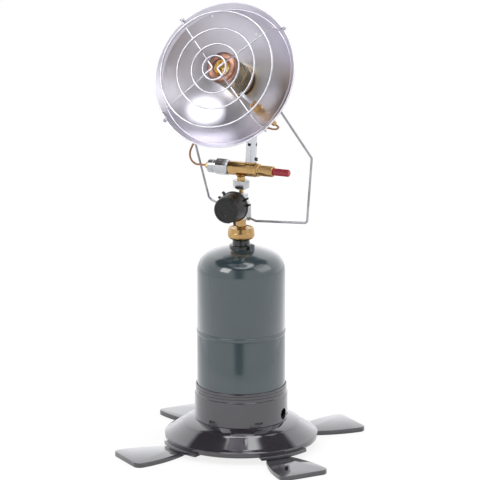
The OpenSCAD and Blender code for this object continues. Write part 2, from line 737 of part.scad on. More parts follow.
module depressor_pin() {
    z = boss_top - 1.2;
    color(brass) rotate_extrude() polygon([[0, z], [0.9, z], [0.9, z + 2.6], [2.1, z + 3],
        [2.1, z + 8], [0, z + 8]]);
}

// ---------------------------------------------------------------- regulator

// The carrying wire's corners, from the bracket's right eye round to its left eye
handle_path = [head_point(bracket_half, 0, bracket_z - 2.34),
    [handle_right, handle_y, valve_z + handle_right_h],
    [handle_foot, handle_y, crown_z + handle_foot_h],
    [handle_bend, handle_y, crown_z + handle_bend_h],
    [3.4 - handle_heel, handle_y, crown_z + handle_heel_h - 2.7],
    [-handle_heel, handle_y, crown_z + handle_heel_h],
    [-handle_left, handle_y, valve_z + handle_left_h],
    head_point(-bracket_half, 0, bracket_z - 2.34)];

// Where the wire passes behind the regulator, and its slope there
clamp_run = handle_path[3] - handle_path[4];
clamp_slope = atan2(clamp_run[2], clamp_run[0]);
clamp_z = handle_path[3][2] - handle_bend * tan(clamp_slope);
strap_z = clamp_z + 7.2;

module regulator_body() {
    color(zinc) difference() {
        union() {
            to_front(drum_back) cylinder(r = drum_r, h = drum_back - drum_joint);
            to_front(-1.5) cylinder(r1 = column_r + 1, r2 = drum_r - 0.6, h = -1.5 - drum_back);
            translate([0, 0, column_foot]) cylinder(r = column_r, h = column_top - column_foot);
            translate([-6.5, 0, column_foot - 1.6])
                cube([13, handle_y - handle_r - seated, strap_z - column_foot + 6.4]);
        }
        to_front(-9.2) cylinder(r = drum_r - 4, h = 8);
        to_front(drum_joint + 0.7) cylinder(r = drum_r - 1 + seated, h = 8);
        to_front(0) cylinder(r = 1.5, h = 12);
        translate([0, 0, column_foot - 5]) cylinder(r = stem_r + seated, h = 8 + seated);
        translate([0, 0, column_foot]) cylinder(r = 1.6, h = 22);
        translate([0, 0, column_top - 8]) cylinder(r = tail_r + seated, h = 12);
        translate([0, handle_y + 1, strap_z]) rotate([90, 0, 0]) cylinder(r = 1.6 + seated, h = 9);
    }
}

module regulator_bonnet() {
    color(zinc) difference() {
        union() {
            to_front(drum_joint) cylinder(r = drum_r, h = drum_joint - drum_front - 1);
            to_front(drum_front + 1) cylinder(r1 = drum_r, r2 = drum_r - 1, h = 1);
            to_front(drum_front + 1) cylinder(r = nose_r, h = drum_front + 1 - nose_front);
        }
        to_front(drum_joint + 1) cylinder(r = drum_r - 5, h = 2.4);
        to_front(drum_joint) cylinder(r = nose_r - 1.6, h = drum_joint - nose_front - 2);
        to_front(drum_joint) cylinder(r = screw_r + running, h = 20);
    }
}

module diaphragm() {
    color(rubber) to_front(drum_joint + 0.66) cylinder(r = drum_r - 1, h = 0.64);
}

module diaphragm_spring() {
    color(steel) translate([0, 0, reg_z])
        rotate([90, 0, 0]) wire(helix(reg_spring_r, 12.1, 22.1, 5), 0.45, [1, 0, 0], 8);
}

module adjusting_screw() {
    color(brass) to_front(drum_joint) rotate_extrude() polygon([[0, 11.4], [nose_r - 2, 11.4],
        [nose_r - 2, 12.6], [screw_r, 12.6], [screw_r, 22], [screw_r - 0.5, 22.6], [0, 22.6]]);
}

module knob() {
    deep = knob_back - knob_front;
    slope = (knob_back_r - knob_front_r) / deep;
    color(black_plastic) {
        difference() {
            union() {
                to_front(knob_back) rotate_extrude() polygon([
                    [knob_back_r - knob_wall, 0], [knob_back_r, 0],
                    [knob_front_r + slope, deep - 1], [knob_front_r - 0.8, deep],
                    [knob_front_r - 2.6, deep], [knob_front_r - 3.2, deep - 0.6],
                    [0, deep - 0.6], [0, deep - 3.2], [knob_front_r - knob_wall, deep - 3.2]]);
                to_front(knob_back - 9) cylinder(r = 5.4, h = deep - 11);
                for (k = [0 : 2], s = [-1, 1]) translate([0, knob_back, reg_z])
                    rotate([90, 0, 0]) rotate([0, 0, ear_angle + ear_spread * s + 120 * k])
                        linear_extrude(ear_t) polygon([[knob_back_r - 1, -1.5], [ear_r, -0.9],
                            [ear_r, 0.9], [knob_back_r - 1, 1.5]]);
            }
            to_front(knob_back - 5) cylinder(r = screw_r + seated, h = 11);
        }
    }
}

module outlet_tail() {
    color(brass) rotate_extrude() polygon([[1.4, column_top - 6], [tail_r, column_top - 6],
        [tail_r, flare_z - 6.8], [5.4, flare_z - 4.6], [5.4, flare_z - 4], [1.4, flare_z - 4]]);
}

module flare_nut() {
    low = flare_z - flare_nut_h;
    color(zinc) difference() {
        intersection() {
            translate([0, 0, low]) rotate([0, 0, 10]) cylinder(r = flare_nut_r, h = flare_nut_h, $fn = 6);
            rotate_extrude() polygon([[0, low], [flare_nut_r - 3.4, low],
                [flare_nut_r + 0.1, low + 2.2], [flare_nut_r + 0.1, flare_z - 0.9],
                [flare_nut_r - 1.1, flare_z], [0, flare_z]]);
        }
        translate([0, 0, low - 1]) cylinder(r = tail_r + seated, h = 20);
        translate([0, 0, flare_z - 6.9 - seated]) cylinder(r1 = tail_r + 0.1, r2 = 5.55, h = 2.3);
        translate([0, 0, flare_z - 4.6 - seated]) cylinder(r = 5.55, h = 6);
    }
}

// ---------------------------------------------------------------- safety valve

module safety_valve_body() {
    foot = valve_flats / 2;
    color(brass) difference() {
        union() {
            intersection() {
                along_x(valve_left) rotate([0, 0, 22.5])
                    cylinder(r = foot / cos(22.5), h = valve_right - valve_left, $fn = 8);
                along_x(valve_left) rotate_extrude() polygon([[0, 0], [foot - 0.2, 0],
                    [foot + 0.6, 1.2], [foot + 0.6, valve_right - valve_left - 1.2],
                    [foot - 0.2, valve_right - valve_left], [0, valve_right - valve_left]]);
            }
            along_x(valve_left - 6.8) cylinder(r = thread_r, h = 8);
            translate([0, 0, flare_z - 0.2]) cylinder(r = 4.4, h = valve_z - flare_z - 4.7);
            translate([0, 0, flare_z - 3.9]) cylinder(r = 5.5, h = 3.7);
            translate([0, 0, valve_z - foot - 1.2]) cylinder(r1 = 5, r2 = 6.8, h = 2.6);
            translate([tube_x, 0, valve_z]) cylinder(r = jet_flange_r - 0.6, h = tube_foot - 1.7);
        }
        along_x(valve_left - 8) cylinder(r = 5.2, h = seat_x - valve_left + 8);
        along_x(seat_x - 1) cylinder(r = seat_hole_r, h = 5);
        along_x(seat_x + 2) cylinder(r = 4.6, h = 8.6);
        along_x(seat_x + 10) cylinder(r = 5 + seated, h = 12);
        translate([0, 0, flare_z - 5]) cylinder(r = 1.8, h = valve_z - flare_z + 0.3);
        translate([tube_x, 0, valve_z]) cylinder(r = jet_bore_r, h = 12);
        translate([tube_x, 0, valve_z + tube_foot - 1.7]) cylinder(r = jet_flange_r + 0.3, h = 12);
    }
}

module magnet_nut() {
    left = valve_left - magnet_nut_w - 0.2;
    color(zinc) difference() {
        intersection() {
            along_x(left) rotate([0, 0, 8]) cylinder(r = magnet_nut_r, h = magnet_nut_w, $fn = 6);
            along_x(left) rotate_extrude() polygon([[0, 0], [magnet_nut_r - 1.6, 0],
                [magnet_nut_r + 0.1, 1.4], [magnet_nut_r + 0.1, magnet_nut_w - 1.4],
                [magnet_nut_r - 1.6, magnet_nut_w], [0, magnet_nut_w]]);
        }
        along_x(left - 1) cylinder(r = 5.6, h = 20);
        along_x(valve_left - 7) cylinder(r = thread_r + seated, h = 8);
    }
}

module magnet_housing() {
    shoulder = valve_left - magnet_nut_w - 0.3;
    color(zinc) difference() {
        union() {
            along_x(housing_left) cylinder(r1 = housing_r - 0.7, r2 = housing_r, h = 0.7);
            along_x(housing_left + 0.7) cylinder(r = housing_r, h = shoulder - housing_left - 0.7);
            along_x(shoulder - 1) cylinder(r = 5.6 - seated, h = 8.6);
        }
        along_x(housing_left + 2.5) cylinder(r = magnet_r + seated, h = 30);
        along_x(housing_left - 1) cylinder(r = gland_r - 0.6 + seated, h = 10);
    }
}

module magnet_unit() {
    color(steel) {
        along_x(housing_left + 2.5 + seated) cylinder(r = magnet_r, h = 18.6);
        along_x(housing_left + 21) cylinder(r = magnet_r - 0.7, h = 2.3);
    }
}

module lead_gland() {
    color(brass) difference() {
        union() {
            along_x(housing_left - 3) rotate([0, 0, 30])
                cylinder(r = gland_r + 0.2, h = 3 - seated, $fn = 6);
            along_x(housing_left - 1) cylinder(r = gland_r - 0.6, h = 3.4);
            along_x(housing_left - 4.4) cylinder(r1 = lead_r + 0.7, r2 = gland_r - 0.6, h = 1.6);
        }
        along_x(housing_left - 5) cylinder(r = lead_r + seated, h = 6);
    }
}

module valve_poppet() {
    color(rubber) {
        along_x(seat_x - 1.6) cylinder(r = seat_hole_r + 1.2, h = 1.5);
        along_x(seat_x - 13) cylinder(r = 1.2, h = 12);
        along_x(seat_x - 14.4) cylinder(r = magnet_r - 0.4, h = 1.6);
    }
}

module push_rod() {
    color(brass) along_x(seat_x - 0.06) cylinder(r = rod_r, h = sleeve_end - seat_x - 1.6);
}

module button_sleeve() {
    color(brass) difference() {
        union() {
            along_x(valve_right - 4.4) cylinder(r = 5, h = 6);
            along_x(valve_right + 0.05) cylinder(r = sleeve_flange_r, h = 2.5);
            along_x(valve_right + 2) cylinder(r = sleeve_r, h = sleeve_end - valve_right - 3.4);
            along_x(sleeve_end - 1.6) cylinder(r1 = sleeve_r, r2 = sleeve_r - 0.7, h = 1.6);
        }
        along_x(0) cylinder(r = rod_r + running, h = 50);
        along_x(valve_right + 3.4) cylinder(r = button_r + running, h = 30);
    }
}

module button_spring() {
    color(steel) along_x(0) wire(helix(button_spring_r, valve_right + 4, button_end - 23.4, 6),
        0.4, [1, 0, 0], 8);
}

module red_button() {
    inner = button_end - 22.9;
    color(button_red) difference() {
        union() {
            along_x(inner) cylinder(r = button_r, h = button_end - inner - 1.4);
            along_x(button_end - 1.4) cylinder(r1 = button_r, r2 = button_r - 1, h = 1.4);
        }
        along_x(inner - 1) cylinder(r = rod_r + seated, h = sleeve_end - inner - 0.6);
    }
}

// ---------------------------------------------------------------- mixing tube

module gas_jet() {
    color(brass) up_tube() rotate_extrude() polygon([[0.6, -5.4], [jet_bore_r - 0.6, -5.4],
        [jet_bore_r - 0.6, -1.05],
        [jet_flange_r - 0.5, -1.05], [jet_flange_r, -0.6], [jet_flange_r, 0.7],
        [jet_flange_r - 0.4, 1.1], [tube_r - tube_wall - seated, 1.1],
        [tube_r - tube_wall - seated, 8.6], [2.6, 10.6], [1.8, 12.6], [0.6, 12.6]]);
}

module mixing_tube() {
    foot = [tube_x, 0, tube_z];
    bend = [tube_x, corner_y, corner_z];
    up = unit(bend - foot);
    out = head_way(0, 0, 1);
    color(steel) difference() {
        wire(rounded([foot + 1.12 * up, bend, bend + (bowl_root + 1) * out], bend_r, 10),
            tube_r, [1, 0, 0], 40);
        wire(rounded([foot, bend, bend + (bowl_root + 3) * out], bend_r, 10),
            tube_r - tube_wall, [1, 0, 0], 40);
        for (a = [0, 90]) up_tube() translate([0, 0, air_h]) rotate([0, 0, a]) rotate([90, 0, 0])
            translate([0, 0, -20]) cylinder(r = air_r, h = 40, $fn = 12);
        up_tube() translate([0, 0, 4.6]) rotate([0, 90, 0])
            cylinder(r = (1.5 + seated) / cos(15), h = 10, $fn = 12);
    }
}

module set_screw() {
    color(rubber) up_tube() translate([tube_r - tube_wall, 0, 4.6]) rotate([0, 90, 0])
        difference() {
            union() {
                cylinder(r = 1.5, h = 1.6);
                translate([0, 0, tube_wall + 0.06]) cylinder(r = 2.1, h = 1.6);
            }
            translate([-0.35, -3, tube_wall + 1]) cube([0.7, 6, 3]);
        }
}

// ---------------------------------------------------------------- burner

module burner_base() {
    color(brass) out_head() difference() {
        union() {
            translate([0, 0, bowl_root - root_back]) cylinder(r = root_r, h = root_back + 3.4);
            translate([0, 0, hub_face]) cylinder(r = root_r + 1.6, h = flange_face - hub_face + 1);
            translate([0, 0, flange_face]) cylinder(r = mesh_r + 0.4, h = 2);
            translate([0, 0, flange_face + 1]) cylinder(r = mesh_r - mesh_t - seated, h = 3.4);
        }
        translate([0, 0, 0]) cylinder(r = tube_r + seated, h = bowl_root + 1.2);
        translate([0, 0, 0]) cylinder(r = tube_r - tube_wall, h = 80);
    }
}

module lock_nut() {
    color(steel) out_head() difference() {
        translate([0, 0, bowl_root - root_back + 1.2]) cylinder(r = 14, h = root_back - 3.6, $fn = 6);
        translate([0, 0, bowl_root - 9]) cylinder(r = root_r + seated, h = 20);
    }
}

module rear_bracket() {
    color(steel) difference() {
        union() {
            out_head() translate([-bracket_half - 3, -8, bracket_z])
                cube([2 * (bracket_half + 3), 16, 1.5]);
            out_head() translate([0, 0, bracket_z]) cylinder(r = 15, h = 1.5);
            for (s = [0, 7]) {
                way = unit(handle_path[s == 0 ? 1 : 6] - handle_path[s]);
                translate(handle_path[s] - 2.5 * way) point_along(way)
                    cylinder(r = handle_r + 1.7, h = 10);
            }
        }
        out_head() cylinder(r = root_r + seated, h = 60);
        for (s = [0, 7]) {
            way = unit(handle_path[s == 0 ? 1 : 6] - handle_path[s]);
            translate(handle_path[s] - 0.05 * way) point_along(way)
                cylinder(r = handle_r + seated, h = 20);
        }
    }
}

// Turns +Z to the direction v
module point_along(v) rotate([0, acos(v[2]), atan2(v[1], v[0])]) children();

module burner_mesh() {
    high = burner_out - 2.6 - mesh_foot;
    pitch = (high - 5) / mesh_rows;
    color(dark_mesh) out_head() translate([0, 0, mesh_foot + seated]) difference() {
        cylinder(r = mesh_r, h = high);
        translate([0, 0, -1]) cylinder(r = mesh_r - mesh_t, h = high + 2);
        for (j = [0 : mesh_rows - 1], i = [0 : mesh_round - 1])
            rotate([0, 0, 360 / mesh_round * (i + (j % 2) / 2)])
                translate([mesh_r - 3, 0, 3.4 + pitch * (j + 0.5)]) rotate([45, 0, 0])
                    translate([0, -mesh_hole * sqrt(0.5), -mesh_hole * sqrt(0.5)])
                        cube([5, mesh_hole * sqrt(2), mesh_hole * sqrt(2)]);
    }
}

module burner_ring() {
    f = burner_out;
    color(copper) out_head() rotate_extrude() polygon([[mesh_r + seated, f - 7], [ring_r, f - 7],
        [ring_r, f - 2.2], [ring_r - 0.8, f - 0.8], [ring_r - 2.4, f], [mouth_r + 1.4, f],
        [mouth_r + 0.3, f - 0.5], [mouth_r, f - 1.6], [mouth_r, f - 4], [mouth_r + 0.6, f - 4],
        [mouth_r + 0.6, f - 1.8], [mouth_r + 1.6, f - 0.7], [ring_r - 2.6, f - 0.7],
        [ring_r - 1.2, f - 1.5], [mesh_r - mesh_t - 0.2, f - 2.5], [mesh_r + seated, f - 2.5]]);
}

module burner_cup() {
    f = burner_out - 2;
    m = mouth_r - seated;
    color(brass) out_head() rotate_extrude() polygon([[0, f - cup_depth], [m - 3.6, f - cup_depth],
        [m - 0.8, f - cup_depth + 5], [m, f - 4], [m, f], [m - 0.7, f], [m - 0.9, f - 4],
        [m - 1.6, f - cup_depth + 5.4], [m - 4, f - cup_depth + 0.9], [2.6, f - cup_depth + 0.9],
        [2.2, f - cup_depth + 3.4], [0, f - cup_depth + 3.8]]);
}

// ---------------------------------------------------------------- reflector

// Height of the bowl's inner surface over the bend's corner at radius r
function bowl_at(r) = bowl_mid - sqrt(bowl_r * bowl_r - r * r);

module reflector() {
    edge = acos(bowl_edge / bowl_r);
    low = asin((bowl_mid - rim_out + 1.9) / (bowl_r + dish_t));
    f = rim_out;
    color(bright_sheet) difference() {
        in_dish() rotate_extrude() polygon(concat(arc(0, bowl_mid, bowl_r, -90, -edge, 20),
            [[bowl_edge + 0.3, f - 0.2], [dish_r - 1, f], [dish_r - 0.2, f - 0.5],
                [dish_r, f - 1.2], [dish_r - 0.3, f - 1.9], [dish_r - 0.9, f - 2.1],
                [dish_r - 1.3, f - 1.6], [dish_r - 1.1, f - 0.9], [bowl_edge + 1, f - 1.2]],
            arc(0, bowl_mid, bowl_r + dish_t, -low, -90, 20)));
        out_head() cylinder(r = root_r + seated, h = 60);
        at_thermocouple() translate([0, 0, -5]) cylinder(r = sheath_r + seated, h = 10);
        for (p = [[-31, 66], [17, 54.6]])
            in_dish() translate([p[0], p[1], 0]) cylinder(r = pinhole_r, h = 90);
    }
}

// ---------------------------------------------------------------- thermocouple

// Frame on the bowl's inner surface, +Z toward the bowl's middle
thermo_s = bowl_at(norm([thermo_a, thermo_b]));
module at_thermocouple() {
    in_dish() translate([thermo_a, thermo_b, thermo_s])
        point_along([-thermo_a, -thermo_b, bowl_mid - thermo_s] / bowl_r) children();
}

module thermocouple() {
    color(steel) at_thermocouple() {
        translate([0, 0, -sheath_back]) cylinder(r = sheath_r, h = sheath_in + sheath_back - 1.4);
        translate([0, 0, sheath_in - 1.4]) cylinder(r1 = sheath_r, r2 = sheath_r - 0.9, h = 1.4);
    }
}

module thermocouple_nut() {
    color(brass) at_thermocouple() difference() {
        union() {
            translate([0, 0, 0.2]) cylinder(r = 5.6, h = 1.2);
            translate([0, 0, 0.2]) cylinder(r = 5.4, h = 6, $fn = 6);
            translate([0, 0, 5]) cylinder(r = 4.2, h = 4.6);
        }
        translate([0, 0, -1]) cylinder(r = sheath_r + seated, h = 20);
    }
}

module thermocouple_back_nut() {
    color(brass) at_thermocouple() difference() {
        union() {
            translate([0, 0, -dish_t - 4.3]) cylinder(r = 5.4, h = 4.1, $fn = 6);
            translate([0, 0, -sheath_back - 2]) cylinder(r = 2.9, h = 5);
            translate([0, 0, -sheath_back + 2.8]) cylinder(r = 2.5, h = sheath_back - 6);
        }
        translate([0, 0, -sheath_back - 0.04]) cylinder(r = sheath_r + seated, h = 40);
        translate([0, 0, -40]) cylinder(r = lead_r + seated, h = 20);
    }
}

// The lead's way from the sheath's end, round behind the bowl, to the gland
lead_start = head_point(thermo_a, thermo_b - dish_drop, thermo_s)
    + (sheath_back + 0.1) / bowl_r * head_way(thermo_a, thermo_b, thermo_s - bowl_mid);
lead_way = head_way(thermo_a, thermo_b, thermo_s - bowl_mid) / bowl_r;
lead_route = [[0.883, 1, 1], [0.821, 0.791, 0.943], [0.718, 0.605, 0.914], [0.606, 0.512, 0.919],
    [0.39, 0.419, 0.923], [0.162, 0.372, 0.869], [-0.13, 0.353, 0.825], [-0.487, 0.335, 0.762],
    [-0.714, 0.307, 0.646], [-0.867, 0.26, 0.487], [-0.968, 0.163, 0.311], [-1, 0.093, 0.181],
    [-0.971, 0.047, 0.07], [-0.896, 0.014, 0.004], [-0.812, 0, 0]];
lead_path = concat([lead_start, lead_start + 3 * lead_way],
    curve(concat([lead_start + 4 * lead_way], [for (p = lead_route)
        [p[0] * lead_left, -p[1] * lead_front, valve_z + p[2] * lead_rise]]), 5),
    [[housing_left - 3, 0, valve_z], [housing_left - 0.4, 0, valve_z]]);

module thermocouple_lead() {
    color(copper) wire(lead_path, lead_r, [0, 0, 1]);
}

// ---------------------------------------------------------------- guard

module guard_ring(r, out) {
    color(steel) in_dish() translate([0, 0, rim_out + out])
        rotate_extrude() translate([r, 0]) circle(r = guard_r);
}

module guard_ring_1() guard_ring(ring_1_r, ring_1_out);
module guard_ring_2() guard_ring(ring_2_r, ring_2_out);
module guard_ring_3() guard_ring(ring_3_r, ring_3_out);
module guard_ring_4() guard_ring(ring_4_r, ring_4_out);

// One arm of a guard wire as [way out, height], from the middle to the hook on the rim
function arm() = [for (p = [[ring_1_r, ring_1_out], [ring_2_r, ring_2_out],
        [ring_3_r, ring_3_out], [ring_4_r, ring_4_out]]) [p[0], p[1] - 2 * guard_r],
    [dish_r - 6.2, ring_4_out - 3.1], [dish_r - 4.1, 2.6], [dish_r + 1.6, 1.8],
    [dish_r + 1.6, -2.2], [dish_r - 0.6, -3.9], [dish_r - 2.6, -3.4]];

// Guard wire bent in the middle, side is 1 for the right one and -1 for the left
module guard_wire(side) {
    x0 = side * arm_gap;
    a = arm();
    reach = [for (p = a) let(m = arm_gap * cos(arm_angle)) sqrt(p[0] * p[0] - pow(arm_gap * sin(arm_angle), 2)) - m];
    up = [for (i = [0 : len(a) - 1]) [x0 + side * reach[i] * cos(arm_angle),
        reach[i] * sin(arm_angle), rim_out + a[i][1]]];
    down = [for (i = [len(a) - 1 : -1 : 0]) [up[i][0], -up[i][1], up[i][2]]];
    color(steel) in_dish() wire(rounded(concat(down, [[x0, 0, rim_out + ring_1_out - 2 * guard_r + 0.1]],
        up), 1.6, 4), guard_r, [0, 0, 1]);
}

module guard_wire_left() guard_wire(-1);
module guard_wire_right() guard_wire(1);

// ---------------------------------------------------------------- handle

module handle_wire() {
    color(steel) wire(rounded(handle_path, 3.4, 6), handle_r, [0, 1, 0], 16);
}

module handle_strap() {
    y = handle_y - handle_r;
    color(steel) difference() {
        translate([-5.5, y, clamp_z - 4.4]) cube([11, strap_t, strap_z - clamp_z + 8.6]);
        translate([0, handle_y, clamp_z]) rotate([0, 90 - clamp_slope, 0]) translate([0, 0, -20])
            cylinder(r = handle_r + seated, h = 40);
        translate([0, handle_y - 5, strap_z]) rotate([-90, 0, 0]) cylinder(r = 1.7, h = 12);
    }
}

module strap_screw() {
    color(steel) translate([0, handle_y - handle_r + strap_t, strap_z]) difference() {
        union() {
            rotate([90, 0, 0]) translate([0, 0, -0.04]) cylinder(r = 1.6, h = strap_t + 5);
            rotate([-90, 0, 0]) translate([0, 0, 0.04]) cylinder(r = 3.1, h = 1.9);
        }
        translate([-0.4, 1, -4]) cube([0.8, 3, 8]);
    }
}

base_flange();
cylinder_cup();
leg_pins();
leg_1();
leg_2();
leg_3();
leg_4();
cylinder_lower_shell();
cylinder_upper_shell();
cylinder_collar();
valve_boss();
valve_core();
relief_valve();
inlet_coupling();
inlet_seal();
depressor_pin();
regulator_body();
regulator_bonnet();
diaphragm();
diaphragm_spring();
adjusting_screw();
knob();
outlet_tail();
flare_nut();
safety_valve_body();
magnet_nut();
magnet_housing();
magnet_unit();
lead_gland();
valve_poppet();
push_rod();
button_spring();
button_sleeve();
red_button();
gas_jet();
set_screw();
mixing_tube();
lock_nut();
rear_bracket();
burner_base();
burner_mesh();
burner_ring();
burner_cup();
reflector();
thermocouple();
thermocouple_nut();
thermocouple_back_nut();
thermocouple_lead();
guard_ring_1();
guard_ring_2();
guard_ring_3();
guard_ring_4();
guard_wire_left();
guard_wire_right();
handle_wire();
handle_strap();
strap_screw();
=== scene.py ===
"""Visual model of a portable propane heater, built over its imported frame.

Every sub-assembly is a class that holds its sizes in millimetres, builds its meshes
with bmesh operators and dresses them. The frame's own parts keep their place, and the
pieces made here ride on the same bodies.
"""

from __future__ import annotations

import json
import logging
import math
from dataclasses import dataclass, field
from enum import Enum

import bmesh
import bpy
from mathutils import Matrix, Vector

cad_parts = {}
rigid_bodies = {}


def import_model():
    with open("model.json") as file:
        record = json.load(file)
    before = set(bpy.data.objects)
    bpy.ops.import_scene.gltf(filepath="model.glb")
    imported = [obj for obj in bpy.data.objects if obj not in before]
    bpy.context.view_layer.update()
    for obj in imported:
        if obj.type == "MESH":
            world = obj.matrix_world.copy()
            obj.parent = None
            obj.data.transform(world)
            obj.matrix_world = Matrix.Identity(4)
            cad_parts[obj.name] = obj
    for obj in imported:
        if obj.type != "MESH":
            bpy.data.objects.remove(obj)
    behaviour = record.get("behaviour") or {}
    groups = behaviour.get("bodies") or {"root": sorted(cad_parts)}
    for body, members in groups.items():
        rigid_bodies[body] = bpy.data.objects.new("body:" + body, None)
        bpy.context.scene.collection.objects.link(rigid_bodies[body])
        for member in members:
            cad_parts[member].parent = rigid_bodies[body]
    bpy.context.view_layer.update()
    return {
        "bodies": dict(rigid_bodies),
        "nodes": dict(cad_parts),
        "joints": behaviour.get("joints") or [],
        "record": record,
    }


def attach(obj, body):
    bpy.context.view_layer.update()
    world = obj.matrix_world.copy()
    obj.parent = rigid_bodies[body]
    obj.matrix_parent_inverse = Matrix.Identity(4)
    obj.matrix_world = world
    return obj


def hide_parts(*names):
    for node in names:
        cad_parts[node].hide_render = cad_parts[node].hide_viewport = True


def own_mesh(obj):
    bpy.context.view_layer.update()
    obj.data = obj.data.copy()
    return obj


LOG = logging.getLogger("heater")
MM = 0.001
ON_AXIS = 1e-6  # A corner of a turned profile that is nearer to the axis lies on it.
WELD = 1e-5  # Corners of a turned mesh that are nearer to each other become one.
SAME_POINT = 0.05  # Points of an outline or a path that are nearer to each other become one.
Profile = list[tuple[float, float]]
Colour = tuple[float, float, float]


class Body(Enum):
    """Bodies of the frame that pieces ride on."""

    BASE = "base"
    LEG_1 = "leg_1"
    LEG_2 = "leg_2"
    LEG_3 = "leg_3"
    LEG_4 = "leg_4"
    CYLINDER = "gas_cylinder"
    HEAD = "heater_head"
    KNOB = "knob"
    BUTTON = "button"


class Pattern(Enum):
    """How a finish's fine marks lie on its surface."""

    GRAIN = "grain"
    SPUN = "spun"
    DRAWN = "drawn"
    # Painted shade: the dark colour of a mesh's inner strands stands in for the shade inside the burner
    # tube.
    PAINTED_INNER_SHADE = "soot"


# ------------------------------------------------------------------ frames


def turned(angle: float, axis: str) -> Matrix:
    """Returns the matrix of a turn by an angle in degrees about a named axis."""
    return Matrix.Rotation(math.radians(angle), 4, axis)


@dataclass(frozen=True)
class Layout:
    """Main places of the heater in millimetres, shared by the sub-assemblies."""

    seat_z: float = 32.1
    cyl_z: float = 35.9
    cyl_h: float = 192.6
    neck_h: float = 8.6
    boss_h: float = 9.4
    reg_h: float = 49.5
    valve_h: float = 88.5
    tube_foot: float = 7.5
    tube_x: float = 11.7
    corner_y: float = 7.7
    corner_h: float = 88.0
    tilt: float = 26.0
    rim_out: float = 83.8
    dish_drop: float = 5.5
    bowl_r: float = 91.5
    bowl_edge: float = 77.9
    thermo_a: float = 31.0
    thermo_b: float = -26.0
    leg_angle: float = -36.7

    @property
    def crown_z(self) -> float:
        """Height of the gas cylinder's crown."""
        return self.cyl_z + self.cyl_h

    @property
    def neck_top(self) -> float:
        """Height of the neck's top."""
        return self.crown_z + self.neck_h

    @property
    def boss_top(self) -> float:
        """Height of the threaded boss's top."""
        return self.neck_top + self.boss_h

    @property
    def reg_z(self) -> float:
        """Height of the regulator's axis."""
        return self.crown_z + self.reg_h

    @property
    def valve_z(self) -> float:
        """Height of the safety valve's axis."""
        return self.crown_z + self.valve_h

    @property
    def tube_z(self) -> float:
        """Height of the mixing tube's foot."""
        return self.valve_z + self.tube_foot

    @property
    def corner(self) -> Vector:
        """Corner of the tube's bend, where the head's frame has its origin."""
        return Vector((self.tube_x, self.corner_y, self.valve_z + self.corner_h))

    @property
    def lean(self) -> float:
        """Backward lean of the mixing tube in degrees."""
        return math.degrees(math.atan2(self.corner_y, self.corner.z - self.tube_z))

    @property
    def bowl_mid(self) -> float:
        """Distance from the bend's corner to the middle of the bowl's sphere."""
        return self.rim_out - 1 + math.sqrt(self.bowl_r**2 - self.bowl_edge**2)

    @property
    def bowl_root(self) -> float:
        """Distance from the bend's corner to the bottom of the bowl."""
        return self.bowl_mid - self.bowl_r

    def head(self) -> Matrix:
        """Returns the frame whose +Z points out of the burner."""
        return Matrix.Translation(self.corner) @ turned(90 - self.tilt, "X")

    def dish(self) -> Matrix:
        """Returns the head's frame moved to the dish's middle."""
        return self.head() @ Matrix.Translation((0, -self.dish_drop, 0))

    def tube(self) -> Matrix:
        """Returns the frame that stands on the tube's foot and points up the tube."""
        return Matrix.Translation((self.tube_x, 0, self.tube_z)) @ turned(-self.lean, "X")

    def valve(self, x: float) -> Matrix:
        """Returns the frame on the valve's axis at x, with +Z toward the button."""
        return Matrix.Translation((x, 0, self.valve_z)) @ turned(90, "Y")

    def front(self, y: float) -> Matrix:
        """Returns the frame on the regulator's axis at y, with +Z toward the front."""
        return Matrix.Translation((0, y, self.reg_z)) @ turned(90, "X")

    def thermocouple(self) -> Matrix:
        """Works out where the thermocouple stands on the bowl's inside.

        Returns:
            The thermocouple's frame, with +Z toward the bowl's middle.
        """
        a, b = self.thermo_a, self.thermo_b
        s = self.bowl_mid - math.sqrt(self.bowl_r**2 - a * a - b * b)
        facing = Vector((-a, -b, self.bowl_mid - s)).normalized().to_track_quat("Z", "Y")
        return self.dish() @ Matrix.Translation((a, b, s)) @ facing.to_matrix().to_4x4()

    def head_point(self, a: float, b: float, s: float) -> Vector:
        """Returns the place of a point that is given in the head's frame."""
        return self.head() @ Vector((a, b, s))


LAY = Layout()


# ------------------------------------------------------------------ meshes


def arc(x: float, y: float, r: float, start: float, end: float, steps: int = 12) -> Profile:
    """Returns points on an arc.

    Args:
        x: Middle of the arc.
        y: Middle of the arc.
        r: Radius.
        start: First angle in degrees.
        end: Last angle in degrees.
        steps: Number of chords.

    Returns:
        The points from the start to the end.
    """
    turns = [math.radians(start + (end - start) * i / steps) for i in range(steps + 1)]
    return [(x + r * math.cos(t), y + r * math.sin(t)) for t in turns]


def rectangle(inner: float, outer: float, low: float, high: float) -> Profile:
    """Returns the closed section of a plain ring, between two radii and two heights."""
    return [(inner, low), (outer, low), (outer, high), (inner, high)]


def edges_of(verts: list[bmesh.types.BMVert]) -> list[bmesh.types.BMEdge]:
    """Returns the edges at some vertices, each once and in the order of the vertices."""
    return list(dict.fromkeys(e for v in verts for e in v.link_edges))


